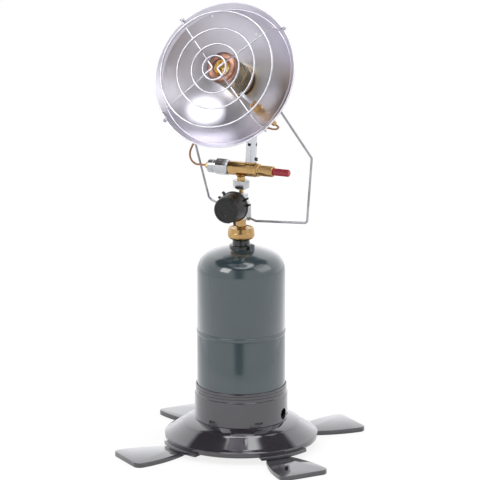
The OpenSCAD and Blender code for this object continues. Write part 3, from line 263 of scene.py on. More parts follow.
def add_lathe(
    bm: bmesh.types.BMesh,
    profile: Profile,
    steps: int = 96,
    place: Matrix | None = None,
    soft: float = 0.0,
    sweep: float = 360.0,
    start: float = 0.0,
    helix: float = 0.0,
) -> list[bmesh.types.BMVert]:
    """Turns a closed profile about +Z.

    Args:
        bm: Mesh that takes the shape.
        profile: Closed outline as (radius, height).
        steps: Number of steps in the turn.
        place: Frame that the shape is moved to.
        soft: Radius that rounds the outline's corners.
        sweep: Angle of the turn in degrees.
        start: First angle in degrees.
        helix: Rise over the whole turn.

    Returns:
        The new vertices.
    """
    old = set(bm.verts)
    verts = [bm.verts.new((r, 0, z)) for r, z in profile]
    edges = []
    for a, b in zip(verts, verts[1:] + verts[:1]):
        if a.co.x > ON_AXIS or b.co.x > ON_AXIS:
            edges.append(bm.edges.new((a, b)))
    if soft > 0:
        corners = [v for v in verts if v.co.x > ON_AXIS and len(v.link_edges) == 2]
        bmesh.ops.bevel(
            bm, geom=corners, offset=soft, offset_type="OFFSET", segments=3, profile=0.5,
            affect="VERTICES", material=-1, clamp_overlap=True,
        )
    ring = [v for v in bm.verts if v not in old]
    rim = edges_of(ring)
    bmesh.ops.rotate(bm, verts=ring, cent=(0, 0, 0), matrix=turned(start, "Z").to_3x3())
    full = abs(sweep) >= 359.9 and helix == 0
    bmesh.ops.spin(
        bm, geom=ring + rim, cent=(0, 0, 0), axis=(0, 0, 1), dvec=(0, 0, helix / steps),
        angle=math.radians(sweep), steps=steps, use_merge=full, use_duplicate=False,
    )
    new = [v for v in bm.verts if v not in old]
    bmesh.ops.remove_doubles(bm, verts=new, dist=WELD)
    new = [v for v in bm.verts if v not in old]
    if not full:
        loose = [e for e in edges_of(new) if e.is_boundary]
        bmesh.ops.holes_fill(bm, edges=loose)
    bmesh.ops.transform(bm, matrix=place or Matrix(), verts=new)
    return new


def add_prism(
    bm: bmesh.types.BMesh, sides: int, r: float, low: float, high: float, place: Matrix | None = None,
) -> list[bmesh.types.BMVert]:
    """Adds an upright prism or cylinder.

    Args:
        bm: Mesh that takes the shape.
        sides: Number of sides.
        r: Radius.
        low: Height of the foot.
        high: Height of the top.
        place: Frame that the shape is moved to.

    Returns:
        The new vertices.
    """
    middle = (place or Matrix()) @ Matrix.Translation((0, 0, (low + high) / 2))
    made = bmesh.ops.create_cone(
        bm, cap_ends=True, segments=sides, radius1=r, radius2=r, depth=high - low,
        matrix=middle @ turned(90, "Z"),
    )
    return made["verts"]


def add_box(
    bm: bmesh.types.BMesh, low: tuple[float, float, float], high: tuple[float, float, float],
    place: Matrix | None = None,
) -> list[bmesh.types.BMVert]:
    """Adds a box between two corners.

    Args:
        bm: Mesh that takes the shape.
        low: Corner with the least coordinates.
        high: Corner with the greatest coordinates.
        place: Frame that the shape is moved to.

    Returns:
        The new vertices.
    """
    a, b = Vector(low), Vector(high)
    middle = (place or Matrix()) @ Matrix.Translation((a + b) / 2)
    made = bmesh.ops.create_cube(bm, size=1, matrix=middle @ Matrix.Diagonal((*(b - a), 1)))
    return made["verts"]


def add_plate(
    bm: bmesh.types.BMesh, outline: Profile, low: float, high: float, place: Matrix | None = None,
) -> list[bmesh.types.BMVert]:
    """Adds a flat plate between two heights.

    Args:
        bm: Mesh that takes the shape.
        outline: Outline as (x, y), in order.
        low: Height of the underside.
        high: Height of the top.
        place: Frame that the shape is moved to.

    Returns:
        The new vertices.
    """
    foot = [bm.verts.new((x, y, low)) for x, y in outline]
    face = bm.faces.new(foot)
    grown = bmesh.ops.extrude_face_region(bm, geom=[face], use_keep_orig=True)["geom"]
    top = [g for g in grown if isinstance(g, bmesh.types.BMVert)]
    bmesh.ops.translate(bm, verts=top, vec=(0, 0, high - low))
    bmesh.ops.transform(bm, matrix=place or Matrix(), verts=foot + top)
    return foot + top


def soften_edges(bm: bmesh.types.BMesh, width: float, angle: float = 28.0, segments: int = 2) -> None:
    """Rounds the edges that are sharper than an angle.

    Args:
        bm: Mesh to change.
        width: Width of the rounding.
        angle: Least angle between two faces, in degrees.
        segments: Number of faces across a rounding.
    """
    bm.normal_update()
    least = math.radians(angle)
    edges = [e for e in bm.edges if len(e.link_faces) == 2 and e.calc_face_angle(0.0) > least]
    bmesh.ops.bevel(
        bm, geom=edges, offset=width, offset_type="OFFSET", segments=segments, profile=0.5,
        affect="EDGES", material=-1, clamp_overlap=True,
    )


def finished(
    bm: bmesh.types.BMesh, name: str, place: Matrix | None = None, sharp: float = 32.0,
) -> bpy.types.Object:
    """Makes a shaded object in metres from a mesh drawn in millimetres.

    Args:
        bm: Mesh in millimetres. It is freed.
        name: Name of the new object.
        place: Frame that the mesh is moved to.
        sharp: Angle in degrees above which an edge stays sharp.

    Returns:
        The new object, at the origin.
    """
    bmesh.ops.transform(bm, matrix=Matrix.Scale(MM, 4) @ (place or Matrix()), verts=bm.verts)
    bmesh.ops.recalc_face_normals(bm, faces=bm.faces)
    mesh = bpy.data.meshes.new(name)
    bm.to_mesh(mesh)
    bm.free()
    return shaded(mesh, name, sharp)


def lathed(
    name: str, profile: Profile, steps: int, place: Matrix | None = None, sharp: float = 32.0,
) -> bpy.types.Object:
    """Makes a piece that is turned about one axis.

    Args:
        name: Name of the new object.
        profile: Closed outline as (radius, height) in millimetres.
        steps: Number of steps in the turn.
        place: Frame that the piece is moved to.
        sharp: Angle in degrees above which an edge stays sharp.

    Returns:
        The new object, at the origin.
    """
    bm = bmesh.new()
    add_lathe(bm, profile, steps, place)
    return finished(bm, name, sharp=sharp)


def shaded(mesh: bpy.types.Mesh, name: str, sharp: float) -> bpy.types.Object:
    """Links a mesh as an object that is smooth apart from its sharp edges.

    Args:
        mesh: Mesh in metres.
        name: Name of the new object.
        sharp: Angle in degrees above which an edge stays sharp.

    Returns:
        The new object, at the origin.
    """
    mesh.polygons.foreach_set("use_smooth", [True] * len(mesh.polygons))
    mesh.set_sharp_from_angle(angle=math.radians(sharp))
    piece = bpy.data.objects.new(name, mesh)
    bpy.context.scene.collection.objects.link(piece)
    return piece


def carved(piece: bpy.types.Object, *cutters: bpy.types.Object, sharp: float = 32.0) -> bpy.types.Object:
    """Cuts one object by others, one after another, and deletes the cutters.

    Args:
        piece: Object to cut.
        cutters: Objects that cut.
        sharp: Angle in degrees above which an edge stays sharp.

    Returns:
        The cut object.
    """
    name = piece.name
    for cutter in cutters:
        cut = piece.modifiers.new("cut", "BOOLEAN")
        cut.operation = "DIFFERENCE"
        cut.object = cutter
        cut.solver = "EXACT"
        bpy.context.view_layer.update()
        mesh = bpy.data.meshes.new_from_object(piece.evaluated_get(bpy.context.evaluated_depsgraph_get()))
        for old in (piece, cutter):
            data = old.data
            bpy.data.objects.remove(old)
            bpy.data.meshes.remove(data)
        bm = bmesh.new()
        bm.from_mesh(mesh)
        bmesh.ops.remove_doubles(bm, verts=bm.verts, dist=1e-7)
        bmesh.ops.dissolve_degenerate(bm, dist=1e-7, edges=bm.edges)
        bm.to_mesh(mesh)
        bm.free()
        mesh.name = name
        piece = shaded(mesh, name, sharp)
    return piece


def rounded_path(points: list[Vector], r: float, steps: int = 8) -> list[Vector]:
    """Returns a path with every inner corner rounded.

    Args:
        points: Corners of the path.
        r: Radius of the rounding.
        steps: Number of chords in each rounding.

    Returns:
        The new points.
    """
    out = [points[0]]
    for a, b, c in zip(points, points[1:], points[2:]):
        u, v = (a - b).normalized(), (c - b).normalized()
        half = u.angle(v) / 2
        middle = b + (u + v).normalized() * (r / math.sin(half))
        reach = r / math.tan(half)
        first, last = (b + u * reach) - middle, (b + v * reach) - middle
        for i in range(steps + 1):
            out.append(middle + first.slerp(last, i / steps).normalized() * r if reach > 1e-3 else b)
    return out + [points[-1]]


def carried(path: list[Vector]) -> list[Matrix]:
    """Carries a frame along a path with the least twist.

    Args:
        path: Points of the path, in order.

    Returns:
        A frame at every point, with +Z along the path.
    """
    frames, across = [], Vector((0, 1, 0)).cross(path[1] - path[0])
    across = across if across.length > 0.2 else Vector((1, 0, 0))
    for i, point in enumerate(path):
        way = (path[min(i + 1, len(path) - 1)] - path[max(i - 1, 0)]).normalized()
        across = (across - across.dot(way) * way).normalized()
        turn = Matrix((across, way.cross(across), way)).transposed().to_4x4()
        frames.append(Matrix.Translation(point) @ turn)
    return frames


def tube(name: str, path: list[Vector], r: float, sides: int = 16, bore: float = 0.0) -> bpy.types.Object:
    """Makes a closed round wire or pipe along a path in millimetres.

    Args:
        name: Name of the new object.
        path: Points of the wire's middle line.
        r: Outer radius.
        sides: Number of sides.
        bore: Inner radius of a pipe, 0 for a solid wire.

    Returns:
        The wire as a mesh object.
    """
    kept = [path[0]]
    for point in path[1:]:
        if (point - kept[-1]).length > SAME_POINT:
            kept.append(point)
    frames = carried(kept)
    bm = bmesh.new()
    edges = []
    for radius in (r, bore) if bore > 0 else (r,):
        made = bmesh.ops.create_circle(
            bm, cap_ends=bore == 0, segments=sides, radius=radius, matrix=frames[0],
        )
        edges += edges_of(made["verts"])
    if bore > 0:
        bmesh.ops.bridge_loops(bm, edges=edges)
        edges = [e for e in edges if e.is_valid]
    for last, following in zip(frames, frames[1:]):
        grown = bmesh.ops.extrude_edge_only(bm, edges=edges)["geom"]
        new = {g for g in grown if isinstance(g, bmesh.types.BMVert)}
        bmesh.ops.transform(bm, matrix=following @ last.inverted(), verts=list(new))
        edges = [g for g in grown if isinstance(g, bmesh.types.BMEdge) and set(g.verts) <= new]
    if bore > 0:
        bmesh.ops.bridge_loops(bm, edges=edges)
    else:
        bmesh.ops.contextual_create(bm, geom=edges)
    return finished(bm, name, sharp=40)


# ------------------------------------------------------------------ finishes


def group_tree(
    name: str, inputs: list[tuple[str, str, object]], outputs: list[tuple[str, str]],
) -> bpy.types.NodeTree:
    """Makes an empty shader node group.

    Args:
        name: Name of the group.
        inputs: Name, socket type and default value of each input.
        outputs: Name and socket type of each output.

    Returns:
        The group, with its input and output nodes named "in" and "out".
    """
    tree = bpy.data.node_groups.new(name, "ShaderNodeTree")
    for label, kind, value in inputs:
        socket = tree.interface.new_socket(name=label, in_out="INPUT", socket_type=kind)
        if value is not None:
            socket.default_value = value
    for label, kind in outputs:
        tree.interface.new_socket(name=label, in_out="OUTPUT", socket_type=kind)
    tree.nodes.new("NodeGroupInput").name = "in"
    tree.nodes.new("NodeGroupOutput").name = "out"
    return tree


def add_node(
    tree: bpy.types.NodeTree, kind: str, links: dict[str | int, object], **settings: object,
) -> bpy.types.Node:
    """Adds a shader node.

    Args:
        tree: Tree that takes the node.
        kind: Type of the node, without its ShaderNode prefix.
        links: Value or output socket for each input.
        settings: Properties of the node.

    Returns:
        The node.
    """
    node = tree.nodes.new("ShaderNode" + kind)
    for label, value in settings.items():
        setattr(node, label, value)
    for label, value in links.items():
        if isinstance(value, bpy.types.NodeSocket):
            tree.links.new(value, node.inputs[label])
        else:
            node.inputs[label].default_value = value
    return node


def add_group(
    tree: bpy.types.NodeTree, group: bpy.types.NodeTree, links: dict[str, object],
) -> bpy.types.bpy_prop_collection:
    """Adds a node group with the given inputs and returns the sockets that it puts out."""
    return add_node(tree, "Group", links, node_tree=group).outputs


def worked_out(tree: bpy.types.NodeTree, operation: str, *values: object) -> bpy.types.NodeSocket:
    """Returns the result of a maths node on one or two values."""
    return add_node(tree, "Math", dict(enumerate(values)), operation=operation).outputs[0]


def ramp(
    tree: bpy.types.NodeTree, value: bpy.types.NodeSocket, span: tuple[object, object],
    ends: tuple[float, float] = (0.0, 1.0),
) -> bpy.types.NodeSocket:
    """Returns a value that runs between two ends while another runs over a span.

    Args:
        tree: Tree that takes the node.
        value: Value that runs over the span.
        span: First and last value of the span.
        ends: Result at the start and at the end of the span.

    Returns:
        The socket of the result, which stays at its ends outside the span.
    """
    links = {"Value": value, 1: span[0], 2: span[1], 3: ends[0], 4: ends[1]}
    return add_node(tree, "MapRange", links).outputs[0]


def radius_at(tree: bpy.types.NodeTree, place: bpy.types.NodeSocket) -> bpy.types.NodeSocket:
    """Measures how far a place stands from the Z axis.

    Args:
        tree: Node tree that takes the nodes.
        place: Output that holds the place.

    Returns:
        The output that holds the distance.
    """
    parts = add_node(tree, "SeparateXYZ", {0: place})
    flat = add_node(tree, "CombineXYZ", {0: parts.outputs[0], 1: parts.outputs[1]})
    return add_node(tree, "VectorMath", {0: flat.outputs[0]}, operation="LENGTH").outputs["Value"]


def smudge_group() -> bpy.types.NodeTree:
    """Builds the group of handling marks: a soft mask and a fine streak.

    Returns:
        The node group, which is built once.
    """
    name = "smudges"
    if name in bpy.data.node_groups:
        return bpy.data.node_groups[name]
    tree = group_tree(
        name,
        [
            ("Vector", "NodeSocketVector", None), ("Scale", "NodeSocketFloat", 30.0),
            ("Stretch", "NodeSocketVector", (1, 1, 1)),
        ],
        [("Mask", "NodeSocketFloat"), ("Streak", "NodeSocketFloat")],
    )
    start, end = tree.nodes["in"].outputs, tree.nodes["out"].inputs
    drawn = add_node(tree, "VectorMath", {0: start["Vector"], 1: start["Stretch"]}, operation="MULTIPLY")
    cloudy = {"Vector": start["Vector"], "Scale": start["Scale"], "Detail": 5.0, "Roughness": 0.6}
    cloud = add_node(tree, "TexNoise", cloudy)
    lined = {"Vector": drawn.outputs[0], "Scale": 900.0, "Detail": 3.0, "Roughness": 0.7}
    lines = add_node(tree, "TexNoise", lined)
    tree.links.new(ramp(tree, cloud.outputs[0], (0.38, 0.66)), end["Mask"])
    tree.links.new(lines.outputs[0], end["Streak"])
    return tree


def spun_group() -> bpy.types.NodeTree:
    """Builds the group of turning marks round +Z: rings that vary with the radius.

    Returns:
        The node group, which is built once.
    """
    name = "turning_marks"
    if name in bpy.data.node_groups:
        return bpy.data.node_groups[name]
    tree = group_tree(
        name, [("Vector", "NodeSocketVector", None), ("Scale", "NodeSocketFloat", 900.0)],
        [("Rings", "NodeSocketFloat"), ("Bands", "NodeSocketFloat")],
    )
    start, end = tree.nodes["in"].outputs, tree.nodes["out"].inputs
    radius = radius_at(tree, start["Vector"])
    for label, scale, detail in (("Rings", start["Scale"], 4.0), ("Bands", 110.0, 2.0)):
        noise = add_node(
            tree, "TexNoise", {"W": radius, "Scale": scale, "Detail": detail}, noise_dimensions="1D",
        )
        tree.links.new(noise.outputs[0], end[label])
    return tree


def inner_shade_group() -> bpy.types.NodeTree:
    """Builds the group of painted shade inside the mesh tube: 0 inside, 1 on its outer strands.

    Returns:
        The node group, which is built once.
    """
    name = "soot_inside"
    if name in bpy.data.node_groups:
        return bpy.data.node_groups[name]
    tree = group_tree(
        name,
        [
            ("Vector", "NodeSocketVector", None), ("Inner", "NodeSocketFloat", 0.01628),
            ("Outer", "NodeSocketFloat", 0.01642),
        ],
        [("Clean", "NodeSocketFloat")],
    )
    start, end = tree.nodes["in"].outputs, tree.nodes["out"].inputs
    unshaded = ramp(tree, radius_at(tree, start["Vector"]), (start["Inner"], start["Outer"]))
    tree.links.new(unshaded, end["Clean"])
    return tree


@dataclass(frozen=True)
class Finish:
    """Surface finish of one material, with its fine marks."""

    name: str
    slot: str
    colour: Colour
    worn: Colour
    metallic: float = 0.0
    smooth: float = 0.3
    rough: float = 0.4
    scale: float = 40.0
    grain: float = 700.0
    relief: float = 0.0
    coat: float = 0.0
    coat_rough: float = 0.05
    ior: float = 1.5
    pattern: Pattern = Pattern.GRAIN
    stretch: tuple[float, float, float] = (1.0, 1.0, 1.0)
    frame: Matrix | None = field(default=None, compare=False)

    def material(self) -> bpy.types.Material:
        """Makes this finish's material the first time, and finds it again after that.

        Returns:
            The material.
        """
        if self.name in bpy.data.materials:
            return bpy.data.materials[self.name]
        material = bpy.data.materials.new(self.name)
        material.use_nodes = True
        tree = material.node_tree
        shader = tree.nodes["Principled BSDF"]
        constants = {
            "Metallic": self.metallic, "IOR": self.ior,
            "Coat Weight": self.coat, "Coat Roughness": self.coat_rough,
        }
        for label, value in constants.items():
            shader.inputs[label].default_value = value
        place = add_node(tree, "TexCoord", {}).outputs["Object"]
        if self.frame is not None:
            back = (Matrix.Scale(MM, 4) @ self.frame @ Matrix.Scale(1 / MM, 4)).inverted()
            links = {"Vector": place, "Location": back.to_translation(), "Rotation": back.to_euler()}
            place = add_node(tree, "Mapping", links).outputs[0]
        links = {"Vector": place, "Scale": self.scale, "Stretch": self.stretch}
        marks = add_group(tree, smudge_group(), links)
        mask, height = marks["Mask"], marks["Streak"]
        if self.pattern is Pattern.SPUN:
            turning = add_group(tree, spun_group(), {"Vector": place, "Scale": self.grain})
            mask = worked_out(tree, "MULTIPLY", mask, turning["Bands"])
            height = turning["Rings"]
        elif self.pattern is not Pattern.DRAWN:
            grain = {"Vector": place, "Scale": self.grain, "Detail": 3.0}
            height = add_node(tree, "TexNoise", grain).outputs[0]
        # Painted shade: the strands inside the burner tube take the finish's dark colour in place of the
        # shade that falls there.
        if self.pattern is Pattern.PAINTED_INNER_SHADE:
            mask = add_group(tree, inner_shade_group(), {"Vector": place})["Clean"]
        tint = add_node(
            tree, "Mix", {0: mask, 6: (*self.colour, 1), 7: (*self.worn, 1)}, data_type="RGBA",
        )
        tree.links.new(tint.outputs[2], shader.inputs["Base Color"])
        matt = ramp(tree, mask, (0.0, 1.0), (self.smooth, self.rough))
        tree.links.new(matt, shader.inputs["Roughness"])
        if self.relief > 0:
            bump = add_node(tree, "Bump", {"Height": height, "Strength": 0.6, "Distance": self.relief * MM})
            tree.links.new(bump.outputs[0], shader.inputs["Normal"])
        return material


BASE_PLASTIC = Finish(
    "gloss_black_plastic", "black_plastic", (0.020, 0.017, 0.022), (0.027, 0.023, 0.029),
    smooth=0.07, rough=0.13, scale=24, grain=500, relief=0.006, coat=1, coat_rough=0.03, ior=1.7,
)
KNOB_PLASTIC = Finish(
    "satin_black_plastic", "knob_plastic", (0.010, 0.010, 0.009), (0.015, 0.015, 0.014),
    smooth=0.22, rough=0.34, scale=60, grain=1800, relief=0.02, ior=1.42,
)
GREEN_PAINT = Finish(
    "green_enamel", "green_paint", (0.030, 0.049, 0.055), (0.034, 0.055, 0.063),
    smooth=0.16, rough=0.22, scale=14, grain=260, relief=0.012, coat=1, coat_rough=0.05, ior=1.6,
)
COLLAR_PAINT = Finish(
    "dark_enamel", "green_paint", (0.010, 0.013, 0.013), (0.016, 0.019, 0.019),
    smooth=0.18, rough=0.28, scale=60, grain=900, relief=0.01, coat=0.5,
)
BRASS = Finish(
    "turned_brass", "brass", (0.56, 0.36, 0.15), (0.45, 0.28, 0.115),
    metallic=1, smooth=0.14, rough=0.25, scale=70, grain=1500, relief=0.004,
)
# Polished brass made lighter than the turned brass, as painted light for the bright highlights in the
# burner's cup.
CUP_BRASS = Finish(
    "polished_brass_painted_light", "brass", (0.95, 0.80, 0.50), (0.84, 0.64, 0.34),
    metallic=1, smooth=0.14, rough=0.26, scale=120, grain=1600, relief=0.008,
)
COPPER = Finish(
    "heated_copper", "copper", (0.34, 0.18, 0.13), (0.13, 0.075, 0.06),
    metallic=1, smooth=0.3, rough=0.5, scale=60, grain=1200, relief=0.02,
)
LEAD_COPPER = Finish(
    "copper_lead", "copper", (0.36, 0.19, 0.09), (0.24, 0.125, 0.06),
    metallic=1, smooth=0.28, rough=0.42, scale=160, grain=1500, relief=0.01,
)
ZINC = Finish(
    "cast_zinc", "zinc", (0.60, 0.61, 0.62), (0.46, 0.47, 0.48),
    metallic=1, smooth=0.16, rough=0.30, scale=110, grain=1100, relief=0.02,
)
STEEL = Finish(
    "bright_steel", "steel", (0.62, 0.62, 0.64), (0.50, 0.50, 0.52),
    metallic=1, smooth=0.12, rough=0.24, scale=120, grain=1500, relief=0.006,
)
TUBE_CHROME = Finish(
    "chromed_tube", "chrome", (0.74, 0.75, 0.77), (0.66, 0.67, 0.69),
    metallic=1, smooth=0.06, rough=0.14, scale=60, relief=0.004, pattern=Pattern.DRAWN,
    stretch=(1, 1, 0.05), frame=LAY.tube(),
)
WIRE_CHROME = Finish(
    "chromed_wire", "chrome", (0.62, 0.61, 0.65), (0.50, 0.49, 0.53),
    metallic=1, smooth=0.10, rough=0.2, scale=90, grain=1400, relief=0.004,
)
# Darker copy of the chrome: painted shade standing in for the dark reflections along the carrying wire.
HANDLE_CHROME = Finish(
    "carrying_chrome", "chrome", (0.42, 0.42, 0.44), (0.30, 0.30, 0.32),
    metallic=1, smooth=0.10, rough=0.2, scale=60, grain=1400, relief=0.004,
)
DISH_SHEET = Finish(
    "spun_aluminium", "reflector_sheet", (0.77, 0.75, 0.81), (0.69, 0.67, 0.73),
    metallic=1, smooth=0.28, rough=0.40, scale=16, grain=620, relief=0.012, pattern=Pattern.SPUN,
    frame=LAY.dish(),
)
# The dark colour is painted shade on the strands inside the burner tube; the olive-gold colour is the outer
# strands' own.
MESH_WITH_PAINTED_SHADE = Finish(
    "oxidised_mesh_painted_shade", "burner_mesh", (0.012, 0.011, 0.010), (0.44, 0.41, 0.30),
    metallic=1, smooth=0.6, rough=0.34, scale=200, grain=1800, relief=0.02, pattern=Pattern.PAINTED_INNER_SHADE,
    frame=LAY.head(),
)
RUBBER = Finish(
    "black_rubber", "rubber", (0.022, 0.022, 0.022), (0.032, 0.032, 0.032),
    smooth=0.6, rough=0.75, scale=80, grain=1500, relief=0.03,
)
RED_PLASTIC = Finish(
    "red_button_plastic", "red_plastic", (0.42, 0.022, 0.035), (0.36, 0.018, 0.03),
    smooth=0.22, rough=0.34, scale=80, grain=1200, relief=0.01, coat=0.3,
)
BLACK_OXIDE = Finish(
    "black_oxide", "black_oxide", (0.045, 0.045, 0.05), (0.07, 0.07, 0.075),
    metallic=1, smooth=0.3, rough=0.45, scale=150, grain=1500, relief=0.01,
)


class Bench:
    """Holds the loaded frame and puts finished pieces on its bodies."""

    def __init__(self, frame: dict) -> None:
        self.nodes = frame["nodes"]
        self.count = 0

    def put(self, piece: bpy.types.Object, finish: Finish, body: Body, *nodes: str) -> bpy.types.Object:
        """Dresses a piece, puts it on its body and lets it stand for parts of the frame.

        Args:
            piece: Finished mesh object.
            finish: Finish of the whole piece.
            body: Body that it rides on.
            nodes: Parts of the frame that it replaces.

        Returns:
            The piece.
        """
        piece.data.materials.clear()
        piece.data.materials.append(finish.material())
        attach(piece, body.value)
        if nodes:
            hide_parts(*nodes)
        self.count += 1
        LOG.info("%s on %s: %d faces", piece.name, body.value, len(piece.data.polygons))
        return piece

    def dress(self, finish: Finish, *nodes: str) -> None:
        """Gives a finish to parts of the frame that keep their own shape.

        Args:
            finish: Finish to give.
            nodes: Names of the parts.
        """
        for node in nodes:
            for slot in self.nodes[node].material_slots:
                slot.material = finish.material()
            LOG.info("%s keeps its shape, in %s", node, finish.name)

    def soft_copy(
        self, node: str, finish: Finish, body: Body, width: float = 0.25, angle: float = 28.0,
    ) -> bpy.types.Object:
        """Puts a copy of a frame part with softened edges in that part's place.

        Args:
            node: Name of the frame's part.
            finish: Finish of the copy.
            body: Body that it rides on.
            width: Width of the softened edges in millimetres.
            angle: Least angle in degrees of an edge that is softened.

        Returns:
            The copy.
        """
        bm = bmesh.new()
        bm.from_mesh(self.nodes[node].data)
        bmesh.ops.transform(bm, matrix=Matrix.Scale(1 / MM, 4), verts=bm.verts)
        bmesh.ops.remove_doubles(bm, verts=bm.verts, dist=1e-4)
        flat = math.radians(0.6)
        bmesh.ops.dissolve_limit(
            bm, angle_limit=flat, use_dissolve_boundaries=False, verts=bm.verts, edges=bm.edges,
        )
        soften_edges(bm, width, angle)
        return self.put(finished(bm, node + "_soft"), finish, body, node)


# ------------------------------------------------------------------ base


@dataclass
class Base:
    """Bell-shaped flange with its lugs, ribs and tabs, and the cup on top."""

    flange_r: float = 86.0
    flange_z: float = 8.1
    band: float = 6.5
    wall: float = 2.5
    crease_r: float = 66.0
    crease_z: float = 27.3
    seat_r: float = 53.0
    hub_r: float = 43.0
    hub_wall: float = 3.0
    rib_count: int = 8
    rib_z: float = 1.8
    lug_r: float = 88.8
    lug_z: float = 5.6
    lug_top: float = 9.7
    lug_back: float = 14.0
    lug_ahead: float = 26.0
    pivot_r: float = 76.0
    boss_r: float = 7.4
    boss_slope: float = 0.68
    tabs: int = 6
    tab_angle: float = -103.4
    tab_sweep: float = 8.4
    tab_foot_r: float = 46.9
    tab_r: float = 49.2
    tab_nose_r: float = 51.2
    cup_inner: float = 49.65
    cup_r: float = 52.2
    lip_r: float = 51.1
    groove: float = 0.45
    groove_drops: tuple[float, float] = (6.2, 2.8)
    cup_step: float = 29.4
    cup_h: float = 39.3
    floor_hole_r: float = 20.0
    floor_t: float = 2.5
    gap_r: float = 46.3
    gap_sweep: float = 11.0
    slot_w: float = 9.0
    slot_h: float = 2.2
    slot_z: float = 5.0
    window_r: float = 6.5
    window_z: float = 8.6

    def upper_line(self) -> Profile:
        """Draws the bell's upper surface from the band to the seat.

        Returns:
            Points as (radius, height) in millimetres.
        """
        r, z, c, h = self.flange_r, self.flange_z, self.crease_r, self.crease_z
        top = z + self.band
        foot = (r - 3, top + 1.1)
        slope = [(foot[0] + (c - foot[0]) * k / 8, foot[1] + (h - foot[1]) * k / 8) for k in range(8)]
        return [
            (r - 1.6, z), (r - 0.9, z + 0.4), (r - 0.3, z + 2.2), (r, top - 1.4), (r - 0.1, top - 0.5),
            (r - 0.8, top + 0.1), *slope, (c + 0.3, h - 0.15), (c, h + 0.2), (c - 0.4, h + 0.5),
            (c - 4.6, h + 2.3), (c - 9.4, h + 3.9), (self.seat_r + 0.6, LAY.seat_z - 0.2),
            (self.seat_r, LAY.seat_z),
        ]

    def lower_line(self, drop: float) -> Profile:
        """Returns the bell's under surface from the seat to the band, dropped by a wall's thickness."""
        return [(r - drop * 0.35, z - drop) for r, z in reversed(self.upper_line()[6:])]

    def bell(self) -> bpy.types.Object:
        """Turns the bell with its hub tube.

        Returns:
            The new object, at the origin.
        """
        r, z, seat = self.flange_r, self.flange_z, LAY.seat_z
        inner, low = self.hub_r - self.hub_wall, z + self.rib_z
        profile = [
            *self.upper_line(), (inner, seat), (inner, low), (self.hub_r, low),
            (self.hub_r, seat - self.wall), *self.lower_line(self.wall), (r - 3.1, z + self.band - 2),
            (r - 3.9, z),
        ]
        return lathed("flange_bell", profile, 192)

    def add_lugs(self, bm: bmesh.types.BMesh) -> None:
        """Adds the lugs that hold the legs and the screw bosses in them, cut off under the bell.

        Args:
            bm: Mesh that takes the shape.
        """
        inner = self.pivot_r - self.boss_r - 1
        lug = rectangle(inner, self.lug_r, self.lug_z, self.lug_top)
        sweep = self.lug_back + self.lug_ahead
        for k in range(4):
            turn = LAY.leg_angle + 90 * k
            add_lathe(bm, lug, 24, soft=0.5, sweep=sweep, start=turn - self.lug_back)
            boss = turned(turn, "Z") @ Matrix.Translation((self.pivot_r, 0, 0))
            for v in add_prism(bm, 40, self.boss_r, self.lug_z + 1, self.crease_z, boss):
                if v.co.z > self.lug_z + 2:
                    past = math.hypot(v.co.x, v.co.y) - self.crease_r
                    v.co.z = self.crease_z - 1.7 - past * self.boss_slope

    def under_parts(self) -> bpy.types.Object:
        """Builds the lugs, screw bosses, ribs and snap tabs.

        Returns:
            The new object, at the origin.
        """
        bm = bmesh.new()
        self.add_lugs(bm)
        seat, edge, foot = LAY.seat_z, self.flange_r - 4, self.flange_z + self.rib_z
        under = [p for p in reversed(self.lower_line(self.wall * 0.5)) if p[0] < edge]
        rib = [(self.hub_r - 1, foot), (edge, foot), *under, (self.hub_r - 1, seat - 1.2)]
        for k in range(self.rib_count):
            upright = turned(LAY.leg_angle + 360 / self.rib_count * (k + 1), "Z") @ turned(90, "X")
            add_plate(bm, rib, -1, 1, upright)
        s = seat + self.slot_z
        heel, r, nose = self.tab_foot_r, self.tab_r, self.tab_nose_r
        tab = [
            (heel, seat - 1.5), (r, seat - 1.5), (r, s - 1), (nose, s - 0.8), (nose, s), (r, s + 1.7),
            (heel, s + 2.2),
        ]
        for k in range(self.tabs):
            start = self.tab_angle + 360 / self.tabs * k - self.tab_sweep / 2
            add_lathe(bm, tab, 6, sweep=self.tab_sweep, start=start)
        return finished(bm, "flange_ribs")

    def cup_wall(self) -> bpy.types.Object:
        """Turns the cup's wall and floor, with its step and its grooved lip.

        Returns:
            The new object, at the origin.
        """
        f, top, i = LAY.seat_z + 1, LAY.seat_z + self.cup_h, self.cup_inner
        step, r, q = LAY.seat_z + self.cup_step, self.cup_r, self.lip_r
        profile = [
            (self.floor_hole_r, f), (i - 2.4, f), (i - 1.6, f - 1), (r - 0.5, f - 1), (r, f - 0.5),
            (r, f + 0.5), (r, step - 2.0), (r, step - 0.9), (r - 0.25, step - 0.25), (r - 0.8, step),
            (q + 0.1, step + 0.1), (q, step + 0.5),
        ]
        for z in (top - drop for drop in self.groove_drops):
            profile += [(q, z - 0.5), (q - self.groove, z - 0.25), (q - self.groove, z + 0.25), (q, z + 0.5)]
        profile += [
            (q, top - 0.6), (q - 0.25, top - 0.15), (q - 0.6, top), (i + 0.3, top), (i, top - 0.8),
            (i, f + self.floor_t), (self.floor_hole_r, f + self.floor_t),
        ]
        return lathed("cup_wall", profile, 160)

